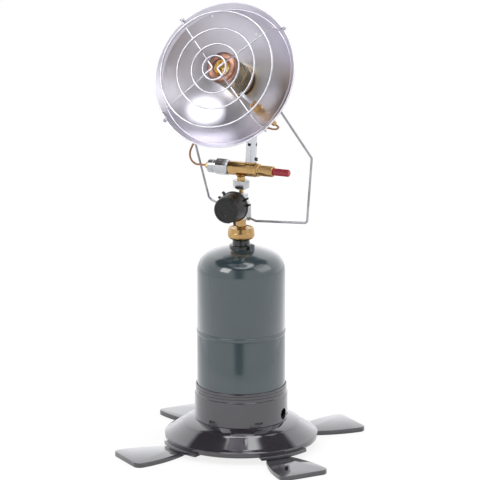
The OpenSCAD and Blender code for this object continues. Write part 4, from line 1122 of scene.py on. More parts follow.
    def cup(self) -> bpy.types.Object:
        """Cuts the windows, the snap slots and the gaps for the snap tabs in the cup.

        Returns:
            The new object, at the origin.
        """
        f, z, i = LAY.seat_z + 1, LAY.seat_z + self.slot_z, self.cup_inner
        half, rise = self.slot_w / 2, self.slot_h / 2
        cuts = []
        for k in range(self.tabs):
            angle = self.tab_angle + 360 / self.tabs * k
            gap = bmesh.new()
            section = rectangle(self.gap_r, i + 0.4, f - 2, f + 2.9)
            add_lathe(gap, section, 8, sweep=self.gap_sweep, start=angle - self.gap_sweep / 2)
            slot = bmesh.new()
            add_box(slot, (i - 1, -half, z - rise), (i + 4, half, z + rise), turned(angle, "Z"))
            cuts += [finished(gap, "gap_cutter"), finished(slot, "slot_cutter")]
        for turn in (0, 180):
            side = turned(turn, "Z") @ Matrix.Translation((0, 0, LAY.seat_z + self.window_z))
            window = bmesh.new()
            add_prism(window, 48, self.window_r, i - 1.2, i + 5, side @ turned(90, "Y"))
            cuts.append(finished(window, "window_cutter"))
        return carved(self.cup_wall(), *cuts)

    def make(self, bench: Bench) -> None:
        """Builds the base and puts it on its body.

        Args:
            bench: Bench that puts pieces on their bodies.
        """
        bench.put(self.bell(), BASE_PLASTIC, Body.BASE, "base_flange")
        bench.put(self.under_parts(), BASE_PLASTIC, Body.BASE, "base_flange")
        bench.put(self.cup(), BASE_PLASTIC, Body.BASE, "cylinder_cup")
        bench.dress(STEEL, "leg_pins")


@dataclass
class Legs:
    """Four flat paddle-shaped legs that turn on screws under the flange."""

    thick: float = 5.4
    pivot_r: float = 76.0
    reach: float = 71.4
    half: float = 29.6
    side_r: float = 140.0
    corner_r: float = 8.0
    skin: float = 2.5
    rim: float = 2.6
    pin_r: float = 2.55
    head_r: float = 5.3
    head_top: float = 2.9
    pad_wall: float = 3.3
    cross_rib: tuple[float, float] = (27.4, 30.0)

    def outline(self, inset: float) -> Profile:
        """Draws a leg's outline with the pivot at the origin.

        Args:
            inset: How far the outline is drawn in, in millimetres.

        Returns:
            Points as (x, y) in millimetres.
        """
        cx, cy = self.reach, self.side_r - self.half
        pivot = self.side_r - math.hypot(cx, cy) - inset
        lean = math.degrees(math.atan2(cy, -cx))
        kr, kx = self.side_r - self.corner_r, self.reach - self.corner_r
        ky = math.sqrt(kr * kr - (cx - kx) ** 2) - cy
        turn = math.degrees(math.atan2(ky + cy, kx - cx))
        side, corner = self.side_r - inset, self.corner_r - inset
        points = (
            arc(0, 0, pivot, lean, 360 - lean, 20) + arc(cx, cy, side, 360 - lean, 360 - turn, 24)
            + arc(kx, -ky, corner, -turn, 0, 8) + arc(kx, ky, corner, 0, turn, 8)
            + arc(cx, -cy, side, turn, lean, 24)
        )
        kept = [points[0]]
        for p in points[1:]:
            if math.dist(p, kept[-1]) > SAME_POINT and math.dist(p, points[0]) > SAME_POINT:
                kept.append(p)
        return kept

    def pockets(self, place: Matrix) -> bpy.types.Object:
        """Makes the cutter of the pockets, which leaves the pad round the screw and the ribs.

        Args:
            place: Frame of the leg.

        Returns:
            The cutter, for carved.
        """
        cut = bmesh.new()
        add_plate(cut, self.outline(self.rim), -1, self.thick - self.skin)
        bars = bmesh.new()
        pad, half, top = self.head_r + self.pad_wall, self.rim / 2, self.thick
        low, high = self.cross_rib
        add_box(bars, (-20, -40, -2), (pad, 40, top))
        add_box(bars, (pad + low, -40, -2), (pad + high, 40, top))
        add_box(bars, (pad - 1, -half, -2), (self.reach + 5, half, top))
        return carved(finished(cut, "pocket_cutter", place), finished(bars, "bar_cutter", place))

    def leg(self, k: int) -> bpy.types.Object:
        """Builds one leg, with rounded edges, the pockets underneath and the stepped screw hole.

        Args:
            k: Number of the leg, from 0.

        Returns:
            The new object, at the origin.
        """
        place = turned(LAY.leg_angle + 90 * k, "Z") @ Matrix.Translation((self.pivot_r, 0, 0))
        bm = bmesh.new()
        add_plate(bm, self.outline(0), 0, self.thick)
        soften_edges(bm, 0.7, 50, 3)
        leg = finished(bm, f"leg_plate_{k + 1}", place, 40)
        cuts = [self.pockets(place)]
        for sides, r, top in ((32, self.pin_r, self.thick + 1), (40, self.head_r, self.head_top)):
            bore = bmesh.new()
            add_prism(bore, sides, r, -1, top)
            cuts.append(finished(bore, "bore_cutter", place))
        return carved(leg, *cuts, sharp=40)

    def make(self, bench: Bench) -> None:
        """Builds the legs and puts each on its own body."""
        for k, body in enumerate((Body.LEG_1, Body.LEG_2, Body.LEG_3, Body.LEG_4)):
            bench.put(self.leg(k), BASE_PLASTIC, body, f"leg_{k + 1}")


# ------------------------------------------------------------------ gas cylinder


@dataclass
class GasCylinder:
    """Painted bottle of two shells with its neck, threaded boss and relief valve."""

    r: float = 49.25
    wall: float = 0.9
    crown_r: float = 90.0
    shoulder_r: float = 22.0
    foot_r: float = 14.0
    seam_h: float = 96.3
    bead_h: float = 5.0
    bead_out: float = 0.55
    punt: float = 25.0
    collar_r: float = 13.2
    collar_h: float = 2.1
    neck_r: float = 9.6
    boss_r: float = 12.3
    pitch: float = 1.27
    thread_turns: float = 4.5
    thread_depth: float = 0.55
    bore_r: float = 3.2
    relief_at: float = 17.6
    relief_angle: float = -22.0
    relief_r: float = 3.0
    relief_h: float = 5.1

    def crown_line(self, inset: float) -> Profile:
        """Draws the line from the wall over the shoulder to the neck.

        Args:
            inset: How far the line is drawn in, in millimetres.

        Returns:
            Points as (radius, height) in millimetres.
        """
        meet = math.degrees(math.acos((self.r - self.shoulder_r) / (self.crown_r - self.shoulder_r)))
        middle = LAY.crown_z - self.crown_r
        high = middle + (self.crown_r - self.shoulder_r) * math.sin(math.radians(meet))
        last = math.degrees(math.acos((self.neck_r - 0.6) / (self.crown_r - inset)))
        return arc(self.r - self.shoulder_r, high, self.shoulder_r - inset, 0, meet, 28) + arc(
            0, middle, self.crown_r - inset, meet, last, 20)[1:]

    def foot_line(self, inset: float) -> Profile:
        """Draws the line from the wall round the foot to the middle.

        Args:
            inset: How far the line is drawn in, in millimetres.

        Returns:
            Points as (radius, height) in millimetres.
        """
        x, z = self.r - self.foot_r, LAY.cyl_z + self.foot_r
        end = math.radians(270 - self.punt)
        px, pz = x + self.foot_r * math.cos(end), z + self.foot_r * math.sin(end)
        punt_r = px / math.sin(math.radians(self.punt))
        middle = pz - punt_r * math.cos(math.radians(self.punt))
        return arc(x, z, self.foot_r - inset, 0, -90 - self.punt, 24) + arc(
            0, middle, punt_r + inset, 90 - self.punt, 90, 10)[1:]

    def relief_place(self) -> Matrix:
        """Returns the upright frame of the relief valve on the crown."""
        return turned(self.relief_angle, "Z") @ Matrix.Translation((self.relief_at, 0, LAY.crown_z))

    def shells(self) -> bpy.types.Object:
        """Turns the two welded shells as one painted bottle.

        Returns:
            The new object, at the origin.
        """
        seam, r = LAY.cyl_z + self.seam_h, self.r
        low, high = seam - self.bead_h / 2, seam + self.bead_h / 2
        out, side = r + self.bead_out, r + self.bead_out * 0.6
        bead = [
            (r, low - 1.2), (r - 0.35, low - 0.6), (r - 0.4, low - 0.1), (side, low + 0.3),
            (out, low + 0.8), (out, high - 1.0), (side, high - 0.5), (r - 0.4, high - 0.1),
            (r - 0.35, high + 0.4), (r, high + 1.0),
        ]
        outer = list(reversed(self.foot_line(0))) + bead + self.crown_line(0)
        inner = list(reversed(self.crown_line(self.wall))) + self.foot_line(self.wall)
        cut = bmesh.new()
        add_prism(cut, 32, self.relief_r + 0.02, -12, 8, self.relief_place())
        bottle = lathed("bottle", outer + inner, 192, sharp=50)
        return carved(bottle, finished(cut, "relief_cutter"), sharp=50)

    def collar(self) -> bpy.types.Object:
        """Turns the painted collar and neck, with the fillet that the weld leaves.

        Returns:
            The new object, at the origin.
        """
        z, r, q = LAY.crown_z, self.neck_r, self.collar_r
        middle, top, high = z - self.crown_r, z + self.collar_h, LAY.neck_top
        foot = [(a, middle + math.sqrt(self.crown_r**2 - a * a) + 0.02) for a in (r - 0.65, 11, q)]
        profile = [
            (6, z - 2.4), (r - 0.65, z - 2.4), *foot, (q, top - 0.8), (q - 0.25, top - 0.25),
            (q - 0.8, top), (r + 1.1, top), (r + 0.3, top + 0.3), (r, top + 1.1), (r, high - 1.2),
            (r - 0.35, high - 0.6), (r, high - 0.2), (r - 0.2, high), (6, high),
        ]
        return lathed("bottle_neck", profile, 96)

    def boss(self) -> bpy.types.Object:
        """Builds the brass boss with a real helical thread.

        Returns:
            The new object, at the origin.
        """
        foot, top, r, bore = LAY.neck_top, LAY.boss_top, self.boss_r, self.bore_r
        core, mouth, seat = r - self.thread_depth, bore + 2.78, bore + 3.6
        profile = [
            (bore, foot - 10), (mouth, foot - 10), (mouth, foot), (self.neck_r + 0.4, foot),
            (core, foot + 1.2), (core, top - 0.9), (core - 0.8, top), (seat, top), (seat, top - 1.4),
            (bore, top - 1.4),
        ]
        bm = bmesh.new()
        add_lathe(bm, profile, 96)
        root, turns = core - 0.2, self.thread_turns
        ridge = [(root, foot + 1.5), (root, foot + 2.5), (r, foot + 2.08), (r, foot + 1.92)]
        add_lathe(bm, ridge, round(60 * turns), sweep=360 * turns, helix=self.pitch * turns)
        return finished(bm, "boss_thread")

    def relief(self) -> bpy.types.Object:
        """Turns the relief valve with its hollow top.

        Returns:
            The new object, at the origin.
        """
        r, h = self.relief_r, self.relief_h
        profile = [
            (0, -7), (r, -7), (r, h - 0.7), (r - 0.2, h - 0.2), (r - 0.6, h), (1.6, h), (1.4, h - 0.2),
            (1.4, h - 2), (0, h - 2),
        ]
        return lathed("relief_cap", profile, 48, self.relief_place())

    def make(self, bench: Bench) -> None:
        """Builds the cylinder and puts it on its body.

        Args:
            bench: Bench that puts pieces on their bodies.
        """
        bench.put(self.shells(), GREEN_PAINT, Body.CYLINDER, "cylinder_lower_shell", "cylinder_upper_shell")
        bench.put(self.collar(), COLLAR_PAINT, Body.CYLINDER, "cylinder_collar")
        bench.put(self.boss(), BRASS, Body.CYLINDER, "valve_boss")
        bench.put(self.relief(), GREEN_PAINT, Body.CYLINDER, "relief_valve")
        bench.dress(STEEL, "valve_core")
        bench.dress(RUBBER, "inlet_seal")


# ------------------------------------------------------------------ regulator


@dataclass
class Regulator:
    """Inlet coupling, regulator and its knob."""

    coupling_r: float = 14.85
    edge_r: float = 13.6
    low: float = 9.8
    top: float = 21.8
    stem_r: float = 5.5
    bore: float = 12.35
    port_r: float = 2.2
    column_drop: float = 17.5
    knob_front: float = -41.4
    knob_back: float = -18.0
    front_r: float = 14.0
    back_r: float = 17.2
    wall: float = 2.4
    screw_r: float = 2.95
    hub_r: float = 5.4
    ear_r: float = 20.6
    ear_t: float = 3.0
    ear_angle: float = 22.0
    ear_spread: float = 11.0

    def coupling(self) -> bpy.types.Object:
        """Turns the brass coupling with its bevels, groove and stem.

        Returns:
            The new object, at the origin.
        """
        low, top = LAY.crown_z + self.low, LAY.crown_z + self.top
        foot, roof = LAY.crown_z + LAY.reg_h - self.column_drop + 3, LAY.boss_top + 1.3
        r, e, stem, port = self.coupling_r, self.edge_r, self.stem_r, self.port_r
        profile = [
            (self.bore, low), (e - 0.3, low), (e, low + 0.25), (r - 0.35, low + 1.7),
            (r - 0.5, low + 2.1), (r - 0.5, low + 2.5), (r, low + 2.9), (r, low + 7.0),
            (r - 0.3, low + 7.5), (e + 0.3, top - 0.9), (e, top - 0.2), (e - 0.3, top), (e - 1.2, top),
            (e - 1.9, top - 0.7), (stem + 2, top - 0.9), (stem, top + 0.2), (stem, foot), (port, foot),
            (port, roof + 2.2), (3.6, roof + 0.8), (3.6, roof), (self.bore, roof),
        ]
        return lathed("brass_coupling", profile, 128, sharp=24)

    def knob(self) -> bpy.types.Object:
        """Builds the hollow knob with its dished face, its hub and its three pairs of ears.

        Returns:
            The new object, at the origin.
        """
        deep = self.knob_back - self.knob_front
        f, b = self.front_r, self.back_r
        at = LAY.front(self.knob_back)
        profile = [
            (b - self.wall, 0), (b - 0.5, 0), (b, 0.5), (b - 0.1, 2.4), (b - 0.9, 3.0),
            (f + 0.6, deep - 1.9), (f + 0.2, deep - 0.8), (f - 0.7, deep), (f - 2.2, deep),
            (f - 3.0, deep - 0.7), (6.4, deep - 0.7), (5.8, deep - 1.1), (0, deep - 1.1), (0, deep - 3.4),
            (f - self.wall, deep - 3.4),
        ]
        bm = bmesh.new()
        add_lathe(bm, profile, 96, at)
        for low, high in ((0, deep - 3), (-9, 0.5)):
            add_lathe(bm, rectangle(self.screw_r, self.hub_r, low, high), 48, at)
        ear = [(b - 1, -1.5), (self.ear_r, -0.9), (self.ear_r, 0.9), (b - 1, 1.5)]
        for k in range(6):
            turn = self.ear_angle + 120 * (k // 2) + self.ear_spread * (-1) ** k
            add_plate(bm, ear, 0.05, self.ear_t, at @ turned(turn, "Z"))
        return finished(bm, "knob_cap", sharp=28)

    def make(self, bench: Bench) -> None:
        """Builds the regulator's pieces and puts them on their bodies.

        Args:
            bench: Bench that puts pieces on their bodies.
        """
        bench.put(self.coupling(), BRASS, Body.HEAD, "inlet_coupling")
        bench.put(self.knob(), KNOB_PLASTIC, Body.KNOB, "knob")
        for node in ("regulator_body", "regulator_bonnet", "flare_nut"):
            bench.soft_copy(node, ZINC, Body.HEAD, 0.3)
        bench.dress(BRASS, "outlet_tail", "depressor_pin", "adjusting_screw")
        bench.dress(RUBBER, "diaphragm")
        bench.dress(STEEL, "diaphragm_spring")


# ------------------------------------------------------------------ safety valve


@dataclass
class SafetyValve:
    """Brass valve body with the magnet at its left end and the red button at its right."""

    housing_left: float = -39.1
    shoulder: float = -29.5
    housing_r: float = 7.6
    sleeve_start: float = 20.45
    sleeve_end: float = 39.3
    sleeve_r: float = 6.1
    flange_r: float = 7.2
    button_end: float = 58.4
    button_long: float = 22.9
    button_r: float = 4.0
    button_ribs: int = 15
    rod_r: float = 1.5
    slip: float = 0.05
    travel: float = 5.0

    def housing(self) -> bpy.types.Object:
        """Turns the plated magnet housing with its rolled end and groove.

        Returns:
            The new object, at the origin.
        """
        r, long = self.housing_r, self.shoulder - self.housing_left
        lead, spigot, inside = 3.02, 5.58, 4.52
        profile = [
            (lead, 0), (r - 1.6, 0), (r - 0.6, 0.2), (r - 0.1, 0.9), (r, 1.6), (r, long - 3.0),
            (r - 0.3, long - 2.7), (r - 0.3, long - 2.3), (r, long - 2.0), (r, long), (spigot, long),
            (spigot, long + 6.6), (inside, long + 6.6), (inside, 2.5), (lead, 2.5),
        ]
        return lathed("magnet_cap", profile, 72, LAY.valve(self.housing_left), 26)

    def sleeve(self) -> bpy.types.Object:
        """Turns the brass sleeve round the button.

        Returns:
            The new object, at the origin.
        """
        r, q, long = self.flange_r, self.sleeve_r, self.sleeve_end - self.sleeve_start
        rod, bore = self.rod_r + self.slip, self.button_r + self.slip
        profile = [
            (rod, -4.4), (5, -4.4), (5, 0), (r - 0.3, 0), (r, 0.3), (r, 1.9), (r - 0.4, 2.3), (q, 2.5),
            (q, long - 1.5), (q - 0.15, long - 0.6), (q - 0.7, long), (self.button_r + 0.5, long),
            (bore, long - 0.4), (bore, 3.0), (rod, 3.0),
        ]
        return lathed("brass_sleeve", profile, 72, LAY.valve(self.sleeve_start), 26)

    def button(self) -> bpy.types.Object:
        """Builds the red button with grip ribs along its length.

        Returns:
            The new object, at the origin.
        """
        inner = self.button_end - self.button_long
        start, long = self.sleeve_end + 0.6 - inner, self.button_end - inner
        r, rod, at = self.button_r, self.rod_r + 0.02, LAY.valve(inner)
        profile = [
            (rod, 0), (r, 0), (r, start), (r - 0.35, start + 0.3), (r - 0.35, long - 1.2),
            (r - 0.6, long - 0.5), (r - 1.2, long), (0, long), (0, 2.7), (rod, 2.7),
        ]
        bm = bmesh.new()
        add_lathe(bm, profile, 60, at)
        for k in range(self.button_ribs):
            rib = at @ turned(360 / self.button_ribs * k, "Z")
            add_box(bm, (r - 0.8, -0.28, start + 0.5), (r, 0.28, long - 1.0), rib)
        return finished(bm, "button_cap", sharp=26)

    def make(self, bench: Bench) -> None:
        """Builds the valve's pieces and puts them on their bodies.

        Args:
            bench: Bench that puts pieces on their bodies.
        """
        bench.soft_copy("safety_valve_body", BRASS, Body.HEAD, 0.3)
        bench.soft_copy("magnet_nut", ZINC, Body.HEAD, 0.3)
        bench.soft_copy("lead_gland", BRASS, Body.HEAD, 0.15)
        bench.put(self.housing(), ZINC, Body.HEAD, "magnet_housing")
        bench.put(self.sleeve(), BRASS, Body.HEAD, "button_sleeve")
        bench.put(self.button(), RED_PLASTIC, Body.BUTTON, "red_button")
        bench.dress(STEEL, "magnet_unit")
        spring = bench.soft_copy("button_spring", STEEL, Body.HEAD, 0.0)
        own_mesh(spring)
        bench.dress(RUBBER, "valve_poppet")
        bench.dress(BRASS, "push_rod")


# ------------------------------------------------------------------ head


@dataclass
class MixingTube:
    """Chromed tube from the gas jet to the burner, with its fixings."""

    foot: float = 1.12
    r: float = 6.08
    wall: float = 1.0
    bend_r: float = 18.0
    air_h: float = 21.2
    air_r: float = 2.0
    screw_h: float = 4.6
    screw_r: float = 1.52

    def make_tube(self) -> bpy.types.Object:
        """Builds the bent tube with its air holes and its rolled foot.

        Returns:
            The new object, at the origin.
        """
        at, head = LAY.tube(), LAY.head()
        start = at @ Vector((0, 0, self.foot))
        path = rounded_path([start, LAY.corner, head @ Vector((0, 0, LAY.bowl_root + 1))], self.bend_r, 24)
        cuts = []
        for turn in (0, 90):
            hole = bmesh.new()
            cross = at @ Matrix.Translation((0, 0, self.air_h)) @ turned(turn, "Z") @ turned(90, "X")
            add_prism(hole, 32, self.air_r, -20, 20, cross)
            cuts.append(finished(hole, "air_cutter"))
        hole = bmesh.new()
        screw = at @ Matrix.Translation((0, 0, self.screw_h)) @ turned(90, "Y")
        add_prism(hole, 24, self.screw_r, 0, 10, screw)
        cuts.append(finished(hole, "screw_cutter"))
        return carved(tube("bent_tube", path, self.r, 64, self.r - self.wall), *cuts, sharp=40)

    def make(self, bench: Bench) -> None:
        """Builds the tube and its fixings.

        Args:
            bench: Bench that puts pieces on their bodies.
        """
        bench.put(self.make_tube(), TUBE_CHROME, Body.HEAD, "mixing_tube")
        bench.soft_copy("gas_jet", BRASS, Body.HEAD, 0.15)
        bench.soft_copy("set_screw", BLACK_OXIDE, Body.HEAD, 0.15)
        bench.soft_copy("lock_nut", STEEL, Body.HEAD, 0.3)
        bench.soft_copy("rear_bracket", STEEL, Body.HEAD, 0.2)


@dataclass
class Burner:
    """Wire-mesh burner tube with its copper ring and brass cup."""

    out: float = 94.5
    foot: float = 45.0
    mesh_r: float = 16.6
    strands: int = 26
    strand_w: float = 0.8
    strand_t: float = 0.5
    ring_r: float = 17.3
    mouth_r: float = 9.2
    cup_depth: float = 17.0
    band: float = 3.2
    weave_lift: float = 0.12

    def mesh_tube(self) -> bpy.types.Object:
        """Builds the mesh of crossed strands between two plain bands.

        Returns:
            The new object, at the origin.
        """
        f, r, t = LAY.head(), self.mesh_r, self.strand_t
        low, high, half = self.foot + self.band, self.out - 6.0, self.strand_w / 2
        rise = high - low
        sweep = math.degrees(rise / r)
        bm = bmesh.new()
        for k in range(self.strands):
            for way, lift in ((1, 0.0), (-1, self.weave_lift)):
                strand = rectangle(r - t - lift, r - lift, low - half, low + half)
                add_lathe(bm, strand, 16, f, sweep=way * sweep, start=360 / self.strands * k, helix=rise)
        for foot, top in ((self.foot, low + 0.3), (high - 0.3, self.out - 2.7)):
            add_lathe(bm, rectangle(r - t - 0.1, r, foot, top), 72, f)
        return finished(bm, "mesh_tube")

    def ring(self) -> bpy.types.Object:
        """Turns the copper ring with its rolled edges.

        Returns:
            The new object, at the origin.
        """
        f, q, m, skirt = self.out, self.ring_r, self.mouth_r, self.mesh_r + 0.02
        profile = [
            (skirt, f - 7), (q - 0.2, f - 7), (q, f - 6.8), (q, f - 2.4), (q - 0.25, f - 1.5),
            (q - 0.9, f - 0.7), (q - 1.8, f - 0.15), (q - 2.8, f), (m + 1.6, f), (m + 0.8, f - 0.2),
            (m + 0.2, f - 0.8), (m, f - 1.6), (m, f - 4), (m + 0.6, f - 4), (m + 0.6, f - 1.8),
            (m + 1.6, f - 0.7), (q - 2.6, f - 0.7), (q - 1.2, f - 1.5), (self.mesh_r - 0.8, f - 2.5),
            (skirt, f - 2.5),
        ]
        return lathed("copper_ring", profile, 96, LAY.head(), 50)

    def cup(self) -> bpy.types.Object:
        """Turns the polished cup in the burner's mouth with its bead.

        Returns:
            The new object, at the origin.
        """
        f, m = self.out - 2, self.mouth_r - 0.02
        low = f - self.cup_depth
        profile = [
            (0, low), (m - 3.6, low), (m - 0.8, low + 5), (m, f - 4), (m, f), (m - 0.4, f + 0.3),
            (m - 0.9, f - 0.2), (m - 1.0, f - 4), (m - 1.7, low + 5.4), (m - 2.8, low + 2.4),
            (m - 4.4, low + 0.9), (3.0, low + 0.9), (2.5, low + 2.8), (1.6, low + 3.6), (0, low + 3.8),
        ]
        return lathed("burner_mouth", profile, 96, LAY.head(), 50)

    def make(self, bench: Bench) -> None:
        """Builds the burner and puts it on the head.

        Args:
            bench: Bench that puts pieces on their bodies.
        """
        bench.put(self.mesh_tube(), MESH_WITH_PAINTED_SHADE, Body.HEAD, "burner_mesh")
        bench.put(self.ring(), COPPER, Body.HEAD, "burner_ring")
        bench.put(self.cup(), CUP_BRASS, Body.HEAD, "burner_cup")
        bench.soft_copy("burner_base", BRASS, Body.HEAD, 0.2)


@dataclass
class Reflector:
    """Spun aluminium dish with its rolled lip and holes."""

    lip_r: float = 81.6
    band_r: float = 74.6
    sheet: float = 0.8
    root_r: float = 9.02
    probe_r: float = 1.93
    pinholes: tuple[tuple[float, float], ...] = ((-31.0, 66.0), (17.0, 54.6))
    pinhole_r: float = 0.8

    def dish(self) -> bpy.types.Object:
        """Spins the dish and cuts the holes for burner, thermocouple and rivets.

        Returns:
            The new object, at the origin.
        """
        f, q, b = LAY.rim_out, self.lip_r, self.band_r
        edge = math.degrees(math.acos(b / LAY.bowl_r))
        back = math.degrees(math.acos((b - 0.2) / (LAY.bowl_r + self.sheet)))
        step = LAY.bowl_mid - math.sqrt(LAY.bowl_r**2 - b * b)
        lip = [
            (b + 0.45, step - 0.3), (q - 1.4, f - 0.5), (q - 1.05, f - 0.14), (q - 0.75, f - 0.05),
            (q - 0.38, f - 0.23), (q - 0.06, f - 0.82), (q - 0.06, f - 1.4), (q - 0.38, f - 1.93),
            (q - 0.8, f - 2.1), (q - 1.25, f - 1.75), (b + 1.05, step - 0.8),
        ]
        inside = arc(0, LAY.bowl_mid, LAY.bowl_r, -90, -edge, 48)
        outside = arc(0, LAY.bowl_mid, LAY.bowl_r + self.sheet, -back, -90, 48)
        cut = bmesh.new()
        add_prism(cut, 64, self.root_r, 10, 60, LAY.head())
        add_prism(cut, 32, self.probe_r, -5, 5, LAY.thermocouple())
        for a, b in self.pinholes:
            add_prism(cut, 24, self.pinhole_r, 10, 90, LAY.dish() @ Matrix.Translation((a, b, 0)))
        dish = lathed("spun_dish", inside + lip + outside, 192, LAY.dish(), 60)
        return carved(dish, finished(cut, "hole_cutter"), sharp=60)

    def make(self, bench: Bench) -> None:
        """Builds the dish and the thermocouple's fixings.

        Args:
            bench: Bench that puts pieces on their bodies.
        """
        bench.put(self.dish(), DISH_SHEET, Body.HEAD, "reflector")
        bench.soft_copy("thermocouple", STEEL, Body.HEAD, 0.2)
        for nut in ("thermocouple_nut", "thermocouple_back_nut"):
            bench.soft_copy(nut, BRASS, Body.HEAD, 0.2)


@dataclass
class Wires:
    """Guard rings, crossed guard wires, carrying wire and thermocouple lead."""

    guard_r: float = 1.0
    rings: tuple[tuple[float, float], ...] = ((13.4, 28.2), (27.3, 25.4), (44.8, 24.2), (64.6, 22.6))
    arm_angle: float = 45.0
    arm_gap: float = 2.6
    dish_r: float = 81.6
    handle_r: float = 1.3
    handle_y: float = 12.0
    corners: tuple[tuple[float, float], ...] = (
        (79.8, 105.1), (74.4, 31.4), (12.6, 27.5), (-41.5, 46.3), (-44.9, 49.0), (-63.3, 116.1),
    )
    handle_bend: float = 3.4
    eye_x: float = 24.0
    eye_drop: float = 4.7
    lead_r: float = 1.1
    sheath: float = 29.1
    lead_ends: tuple[float, ...] = (-50.02, -42.1, -39.5)
    lead_reach: tuple[float, float, float] = (61.6, -21.5, 55.9)
    lead_route: tuple[tuple[float, float, float], ...] = (
        (0.883, 1, 1), (0.821, 0.791, 0.943), (0.718, 0.605, 0.914), (0.606, 0.512, 0.919),
        (0.39, 0.419, 0.923), (0.162, 0.372, 0.869), (-0.13, 0.353, 0.825), (-0.487, 0.335, 0.762),
        (-0.714, 0.307, 0.646), (-0.867, 0.26, 0.487), (-0.968, 0.163, 0.311), (-1, 0.093, 0.181),
        (-0.971, 0.047, 0.07), (-0.896, 0.014, 0.004), (-0.812, 0, 0),
    )

    def ring(self, k: int) -> bpy.types.Object:
        """Bends one guard ring as a closed loop.

        Args:
            k: Number of the ring, from 0.

        Returns:
            The new object, at the origin.
        """
        r, out = self.rings[k]
        bm = bmesh.new()
        add_lathe(bm, arc(r, LAY.rim_out + out, self.guard_r, 0, 342, 19), 120, LAY.dish())
        return finished(bm, f"ring_wire_{k + 1}", sharp=60)

    def arm(self, side: int) -> bpy.types.Object:
        """Bends one guard wire that hooks over the dish's lip at both ends.

        Args:
            side: -1 for the left wire, 1 for the right one.

        Returns:
            The new object, at the origin.
        """
        q, g, rings = self.dish_r, self.guard_r, self.rings
        hook = [(q - 4.1, 2.6), (q + 1.6, 1.8), (q + 1.6, -2.2), (q - 0.6, -3.9), (q - 2.6, -3.4)]
        line = [*((r, out - 2 * g) for r, out in rings), (q - 6.2, rings[3][1] - 3.1), *hook]
        c, s = math.cos(math.radians(self.arm_angle)), math.sin(math.radians(self.arm_angle))
        x0 = side * self.arm_gap
        up = []
        for r, out in line:
            reach = math.sqrt(r * r - (self.arm_gap * s) ** 2) - self.arm_gap * c
            up.append(Vector((x0 + side * reach * c, reach * s, LAY.rim_out + out)))
        down = [Vector((p.x, -p.y, p.z)) for p in reversed(up)]
        middle = Vector((x0, 0, LAY.rim_out + rings[0][1] - 2 * g + 0.1))
        path = [LAY.dish() @ p for p in rounded_path(down + [middle] + up, 1.6, 6)]
        return tube("guard_arm_left" if side < 0 else "guard_arm_right", path, g, 16)

    def handle(self) -> bpy.types.Object:
        """Bends the carrying wire from one length.

        Returns:
            The new object, at the origin.
        """
        bends = [Vector((x, self.handle_y, LAY.crown_z + z)) for x, z in self.corners]
        eyes = [LAY.head_point(a, 0, LAY.bowl_root - self.eye_drop) for a in (self.eye_x, -self.eye_x)]
        path = rounded_path([eyes[0], *bends, eyes[1]], self.handle_bend, 8)
        return tube("carrying_wire", path, self.handle_r, 20)

    def lead(self) -> bpy.types.Object:
        """Lays the copper lead along its route from the sheath to the gland.

        Returns:
            The new object, at the origin.
        """
        at = LAY.thermocouple()
        start = [at @ Vector((0, 0, -self.sheath - d)) for d in (0, 3, 4)]
        foot = Vector((0, 0, LAY.valve_z))
        route = [start[2]] + [foot + Vector(p) * Vector(self.lead_reach) for p in self.lead_route]
        smooth = []
        for i in range(len(route) - 1):
            a, b, c, d = route[max(i - 1, 0)], route[i], route[i + 1], route[min(i + 2, len(route) - 1)]
            for t in (k / 8 for k in range(8)):
                square, cube = 2 * a - 5 * b + 4 * c - d, 3 * b - a - 3 * c + d
                smooth.append(0.5 * (2 * b + (c - a) * t + square * t * t + cube * t**3))
        ends = [foot + Vector((x, 0, 0)) for x in self.lead_ends]
        return tube("copper_wire", start[:2] + smooth + ends, self.lead_r, 16)

    def make(self, bench: Bench) -> None:
        """Builds the wires and puts them on the head.

        Args:
            bench: Bench that puts pieces on their bodies.
        """
        for k in range(4):
            bench.put(self.ring(k), WIRE_CHROME, Body.HEAD, f"guard_ring_{k + 1}")
        for side, node in ((-1, "guard_wire_left"), (1, "guard_wire_right")):
            bench.put(self.arm(side), WIRE_CHROME, Body.HEAD, node)
        bench.put(self.handle(), HANDLE_CHROME, Body.HEAD, "handle_wire")
        bench.put(self.lead(), LEAD_COPPER, Body.HEAD, "thermocouple_lead")
        bench.soft_copy("handle_strap", STEEL, Body.HEAD, 0.3)
        bench.soft_copy("strap_screw", STEEL, Body.HEAD, 0.2)


# ------------------------------------------------------------------ studio


@dataclass(frozen=True)
class Softbox:
    """Square lamp that faces the heater: angles in degrees, far and wide in metres, power in watts.

    The azimuth counts from the camera's side to the right, and the height from the horizon.
    """

    name: str
    azimuth: float
    height: float
    far: float
    wide: float
    power: float


